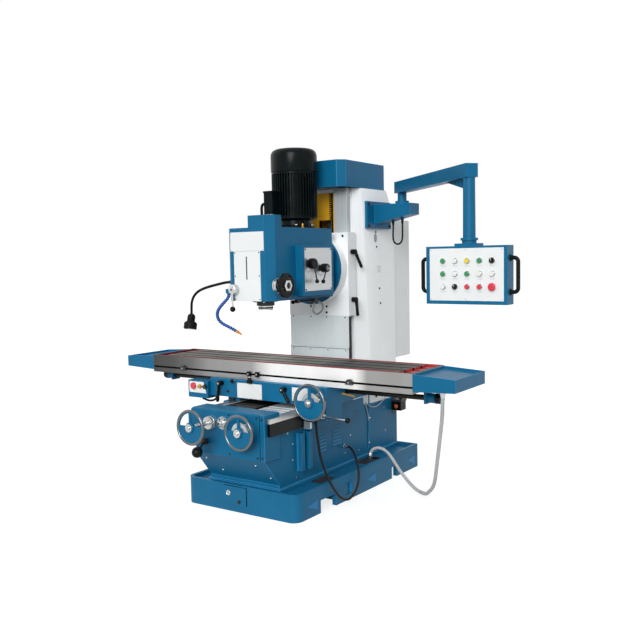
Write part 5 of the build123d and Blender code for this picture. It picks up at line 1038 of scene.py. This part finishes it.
# Main motor: finned body, fan cover with a grille, flange bolts and terminal box
MOTOR_AT, HEAD_TOP = (0, 115), 1686
FINS, FIN_ROOT, FIN_TIP = 46, 127, 144.5
FAN_BOTTOM, GRILLE_Z = 2044, 2185
k.stud("z", MOTOR_AT, HEAD_TOP, 1, [(122, 0), (122, 18), (118, 21), (100, 24), (98, 52), (120, 59),
    (138, 64), (138, 82), (126, 84), (126, 340), (138, 342), (138, 360), (120, 362)], GLOSS, 64)
pitch = 2 * pi / FINS
outline = []
for a in angles(FINS):
    for share, r in ((-0.24, FIN_ROOT), (-0.15, FIN_TIP), (0.15, FIN_TIP), (0.24, FIN_ROOT)):
        outline.append(around(MOTOR_AT, r, a + share * pitch))
k.prism("z", outline, (1758, 2036), GLOSS)
k.band("z", MOTOR_AT, FAN_BOTTOM, 1, [(140, 0), (147, 0), (148, 4), (148, 104), (144, 122), (134, 136),
    (118, 144), (100, 146), (98, 143), (98, 136), (0, 136)], GLOSS, 72)
for r in (22, 36, 50, 64, 78, 92):
    k.ring("z", MOTOR_AT, GRILLE_Z, r, 2.4, GLOSS, 48)
for a in angles(6):
    out = Vector((cos(a), sin(a), 0))
    middle = Vector((*MOTOR_AT, GRILLE_Z)) + out * 56
    k.block(middle, out * 43, Vector((-out.y, out.x, 0)) * 3, (0, 0, 2.2), GLOSS)
for a in angles(4, 0.22 * pi):
    k.screw("z", around(MOTOR_AT, 108, a), 1705, 1, BRIGHT, 9, 10)
for axis, near, middle in (("x", MOTOR_AT[1], MOTOR_AT[0]), ("y", *MOTOR_AT)):
    for out in (-1, 1):
        k.stud(axis, (near, 2066), middle, out, [(4, 149), (5, 148), (5, 146)], GLOSS, 16)
k.box((-80, -14), (-102, 112), (1776, 1908), GLOSS)
k.box((-83, -11), (-105, 40), (1908, 1920), GLOSS)
for x in (-75, -19):
    for y in (-97, -36):
        k.screw("z", (x, y), 1918, 1, BRIGHT, 5, 3)
k.stud("x", (-62, 1846), -80, -1, [(15, 0), (15, 8), (12, 10), (12, 18), (10, 24)], BRIGHT, 24)
k.sweep(line_of(((-100, -62, 1846), (-116, -62, 1846), (-130, -62, 1830), (-132, -60, 1790),
    (-128, -56, 1730), (-128, -56, 1684))), 9, RUBBER, 14)
k.stud("z", (-128, -56), HEAD_TOP, 1, [(15, 0), (15, 8), (11, 10), (10, 20)], BLACK, 24)
for a in (-0.5, 2.6):
    out = Vector((cos(a), sin(a), 0))
    eye = Vector((*MOTOR_AT, 2012)) + out * 140
    loop = [2 * pi * i / 16 for i in range(17)]
    k.sweep([eye + Vector((0, 0, 10 * sin(t))) + out * (6 - 9 * cos(t)) for t in loop], 3, GLOSS, 10, False)
k.done("main_motor_finned", "head", "main_motor", bevel=0.8)

# Oiler on the head and foot of the work lamp
HEAD_LEFT, LAMP_Y = -175, -300
k.stud("z", (112, 40), HEAD_TOP, 1, [(5, 30), (6, 26), (6, 14), (9, 12), (9, 0)], BRASS, 16)
k.stud("x", (LAMP_Y, 1362), HEAD_LEFT, -1, [(22, 0), (22, 5), (15, 7), (14, 21), (9, 31)], MATT, 32)
k.done("head_small_fittings", "head")

# Work lamp on a ribbed neck
LAMP = ((HEAD_LEFT, 1362), (-225, 1362), (-305, 1347), (-385, 1331), (-452, 1312), (-502, 1283),
    (-530, 1240), (-535, 1192), (-535, 1150))
NECK_RIBS = [(2.4, 8.6), (1.4, 7.6), (0.8, 7.6), (1.4, 8.6)]
LAMP_TILT = -12
points, radii = steps(line_of([(x, LAMP_Y, z) for x, z in LAMP]), NECK_RIBS)
Kit().sweep(points, radii, MATT, 16).done("work_lamp_neck", "head", "work_lamp")
neck_end = Vector((LAMP[-1][0], LAMP_Y, LAMP[-1][1]))
k.band("z", neck_end[:2], neck_end.z, -1, [(0, -10), (13, -8), (17, -2), (24, 1), (25, 22), (25, 38),
    (31, 44), (40, 50), (42, 56), (42, 88), (41, 92), (38, 92), (37, 88), (34, 80), (0, 76)],
    [MATT] * 11 + [BRIGHT, BRIGHT, LENS], 40)
k.band("z", neck_end[:2], neck_end.z, -1, [(0, 90), (20, 90), (30, 86), (34, 80), (0, 78)], LENS, 32)
for z in (1118, 1124, 1130, 1136):
    k.ring("z", neck_end[:2], z, 25, 1.4, MATT, 36)
tilt = Matrix.Rotation(radians(LAMP_TILT), 3, "X")
k.v = [tuple(neck_end + tilt @ (Vector(v) - neck_end)) for v in k.v]
k.done("work_lamp_head", "head")

# Segmented coolant hose with its nozzle
COOLANT = ((-160, -364, 1296), (-160, -364, 1274), (-184, -374, 1246), (-222, -380, 1212),
    (-254, -372, 1176), (-266, -352, 1134), (-248, -330, 1104), (-214, -310, 1084), (-176, -290, 1060),
    (-140, -276, 1036))
SEGMENT = [(1.4, 7.4), (1.4, 9.8), (1.6, 11), (5, 11.2), (2.6, 10.6), (1.9, 8.8), (1.6, 7.4)]
NOZZLE_LENGTH = 42
line = line_of(COOLANT)
length = sum((b - a).length for a, b in zip(line, line[1:]))
points, radii = steps(line, SEGMENT, length - NOZZLE_LENGTH)
k.sweep(points, radii, BLUE_HOSE, 20)
k.taper(points[-1], line[-1], (0, 0.12, 0.3, 0.36, 0.7, 1.0), [7.4, 10.6, 10, 7.8, 6, 4], ORANGE)
k.stud("z", COOLANT[0][:2], 1300, -1, [(13, 0), (13, 10), (11.4, 12), (11.4, 18)], BLUE_HOSE, 24)
k.done("coolant_hose_segments", "head", "coolant_hose", angle=50)

# Pendant: bracket, arm, box with its panel, buttons and handles
SPOTS = {(c, r): (1238 + 72 * c, 1398 + 71 * r) for c in range(-2, 3) for r in (-1, 0, 1)}
STOP_SPOT, SWITCH_SPOTS = (2, -1), ((2, 1), (-1, -1))
BOX_MIDDLE, BOX_HALF = 1228, 238
PANEL_FOOT = 0.2
clone("pendant_bracket", BLUE, 3, PALE_BLUE_HIGHLIGHT_AND_WEAR)
for y in (566, 850):
    for z in (1708, 1853):
        k.screw("x", (y, z), 280, 1, IRON, 9, 8)
k.done("bracket_bolts")
clone("pendant_arm", BLUE_SHEET, 3, PALE_BLUE_HIGHLIGHT_AND_WEAR)
clone("pendant_box", BLUE_SHEET, 4, PALE_BLUE_HIGHLIGHT_AND_WEAR)
clone("pendant_handles", MATT, 0, angle=50)
k.box((1012, 1447), (-0.25, 0.8), (1250, 1538), PLATE)
k.pins([(x, z) for x in (1021, BOX_MIDDLE, 1438) for z in (1259, 1529)], -2.4, PANEL_FOOT, 2.6, 3.6)
for spot, (x, z) in SPOTS.items():
    inner, outer, front = 13.7, 17.2, -7.6
    if spot in SWITCH_SPOTS:
        inner, front = 12.4, -2.8
    elif spot == STOP_SPOT:
        inner, outer, front = 12.4, 19, -1.6
    shoulder = max(front + 0.6, -2.2)
    k.turn("y", (x, z), [(inner, PANEL_FOOT), (outer, PANEL_FOOT), (outer, shoulder), (outer - 1.4, front),
        (inner, front), (inner, PANEL_FOOT)], BRIGHT, 40)
    k.box((x - 15, x + 15), (-0.8, PANEL_FOOT), (z - 31, z - 24), GREY)
k.done("pendant_panel", "pendant_box", bevel=0.5)
for node, m in (("green_buttons", GREEN_CAP), ("white_buttons", WHITE_CAP), ("yellow_button", YELLOW_CAP),
        ("red_buttons", RED_CAP)):
    clone("pendant_" + node, m, 3)
clone("pendant_estop", RED_CAP, 5)
for node in ("pendant_switch_upper", "pendant_switch_lower"):
    clone(node, BLACK_CAP, 2)
    lo, hi = (Vector(p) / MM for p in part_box(node))
    x, z = (lo.x + hi.x) / 2, (lo.z + hi.z) / 2
    k.box((x - 1.2, x + 1.2), (lo.y - 0.6, lo.y + 1), (z + 2, z + 11), PLATE)
    k.done(node + "_pointer", node, bevel=0.3)
for side in (-1, 1):
    for z in (1298, 1482):
        foot = [(18, 0), (18, 4), (15, 6), (11.6, 10)]
        k.stud("x", (46, z), BOX_MIDDLE + side * BOX_HALF, side, foot, MATT, 28)
k.done("handle_feet", "pendant_box")

# Floor: pale, and brighter to the camera and to reflections
FLOOR_HALF, FLOOR_Z = 24.0, -0.0006
FLOOR_GREY, FLOOR_LIFT = 0.35, 0.78


def seen(tree, *kinds):
    """Output that is 1 for rays of any of the kinds."""
    paths = add_node(tree, "LightPath")
    total = paths.outputs[kinds[0]]
    for kind in kinds[1:]:
        links = {0: total, 1: paths.outputs[kind]}
        total = add_node(tree, "Math", links, operation="MAXIMUM").outputs[0]
    return total


floor = bpy.data.materials.new("pale_floor")
floor.use_nodes = True
tree = floor.node_tree
shader = tree.nodes["Principled BSDF"]
shader.inputs["Base Color"].default_value = (FLOOR_GREY, FLOOR_GREY, FLOOR_GREY, 1)
shader.inputs["Roughness"].default_value = 0.9
shader.inputs["Specular IOR Level"].default_value = 0.1
shader.inputs["Emission Color"].default_value = (1, 1, 1, 1)
visible = seen(tree, "Is Camera Ray", "Is Glossy Ray")
lift = add_node(tree, "Math", {0: visible}, {1: FLOOR_LIFT}, "MULTIPLY")
tree.links.new(lift.outputs[0], shader.inputs["Emission Strength"])
me = bpy.data.meshes.new("floor")
corners = [(x * FLOOR_HALF, y * FLOOR_HALF, FLOOR_Z) for x, y in ((-1, -1), (1, -1), (1, 1), (-1, 1))]
me.from_pydata(corners, [], [(0, 1, 2, 3)])
me.materials.append(floor)
ground = bpy.data.objects.new("floor", me)
scene.collection.objects.link(ground)

# World: soft light on the object, white to the camera, to reflections and through glass
WORLD_LIGHT = 0.47
world = bpy.data.worlds.new("studio")
scene.world = world
world.use_nodes = True
tree = world.node_tree
visible = seen(tree, "Is Camera Ray", "Is Glossy Ray", "Is Transmission Ray")
strength = add_node(tree, "MapRange", {"Value": visible}, {"To Min": WORLD_LIGHT, "To Max": 1.0})
background = tree.nodes["Background"]
background.inputs["Color"].default_value = (1, 1, 1, 1)
tree.links.new(strength.outputs[0], background.inputs["Strength"])

# Lamps: name, direction, strength and spread in degrees
for name, direction, energy, spread in (("key", (-0.33, 0.90, -0.38), 2.15, 28),
        ("fill", (-0.85, 0.25, -0.45), 0.10, 60), ("left", (0.9, 0.3, -0.4), 0.35, 60),
        ("top", (0.1, 0.2, -1.0), 0.4, 60)):
    lamp = bpy.data.lights.new(name, "SUN")
    lamp.energy, lamp.angle = energy, radians(spread)
    o = bpy.data.objects.new(name, lamp)
    o.rotation_euler = Vector(direction).to_track_quat("-Z", "Y").to_euler()
    scene.collection.objects.link(o)
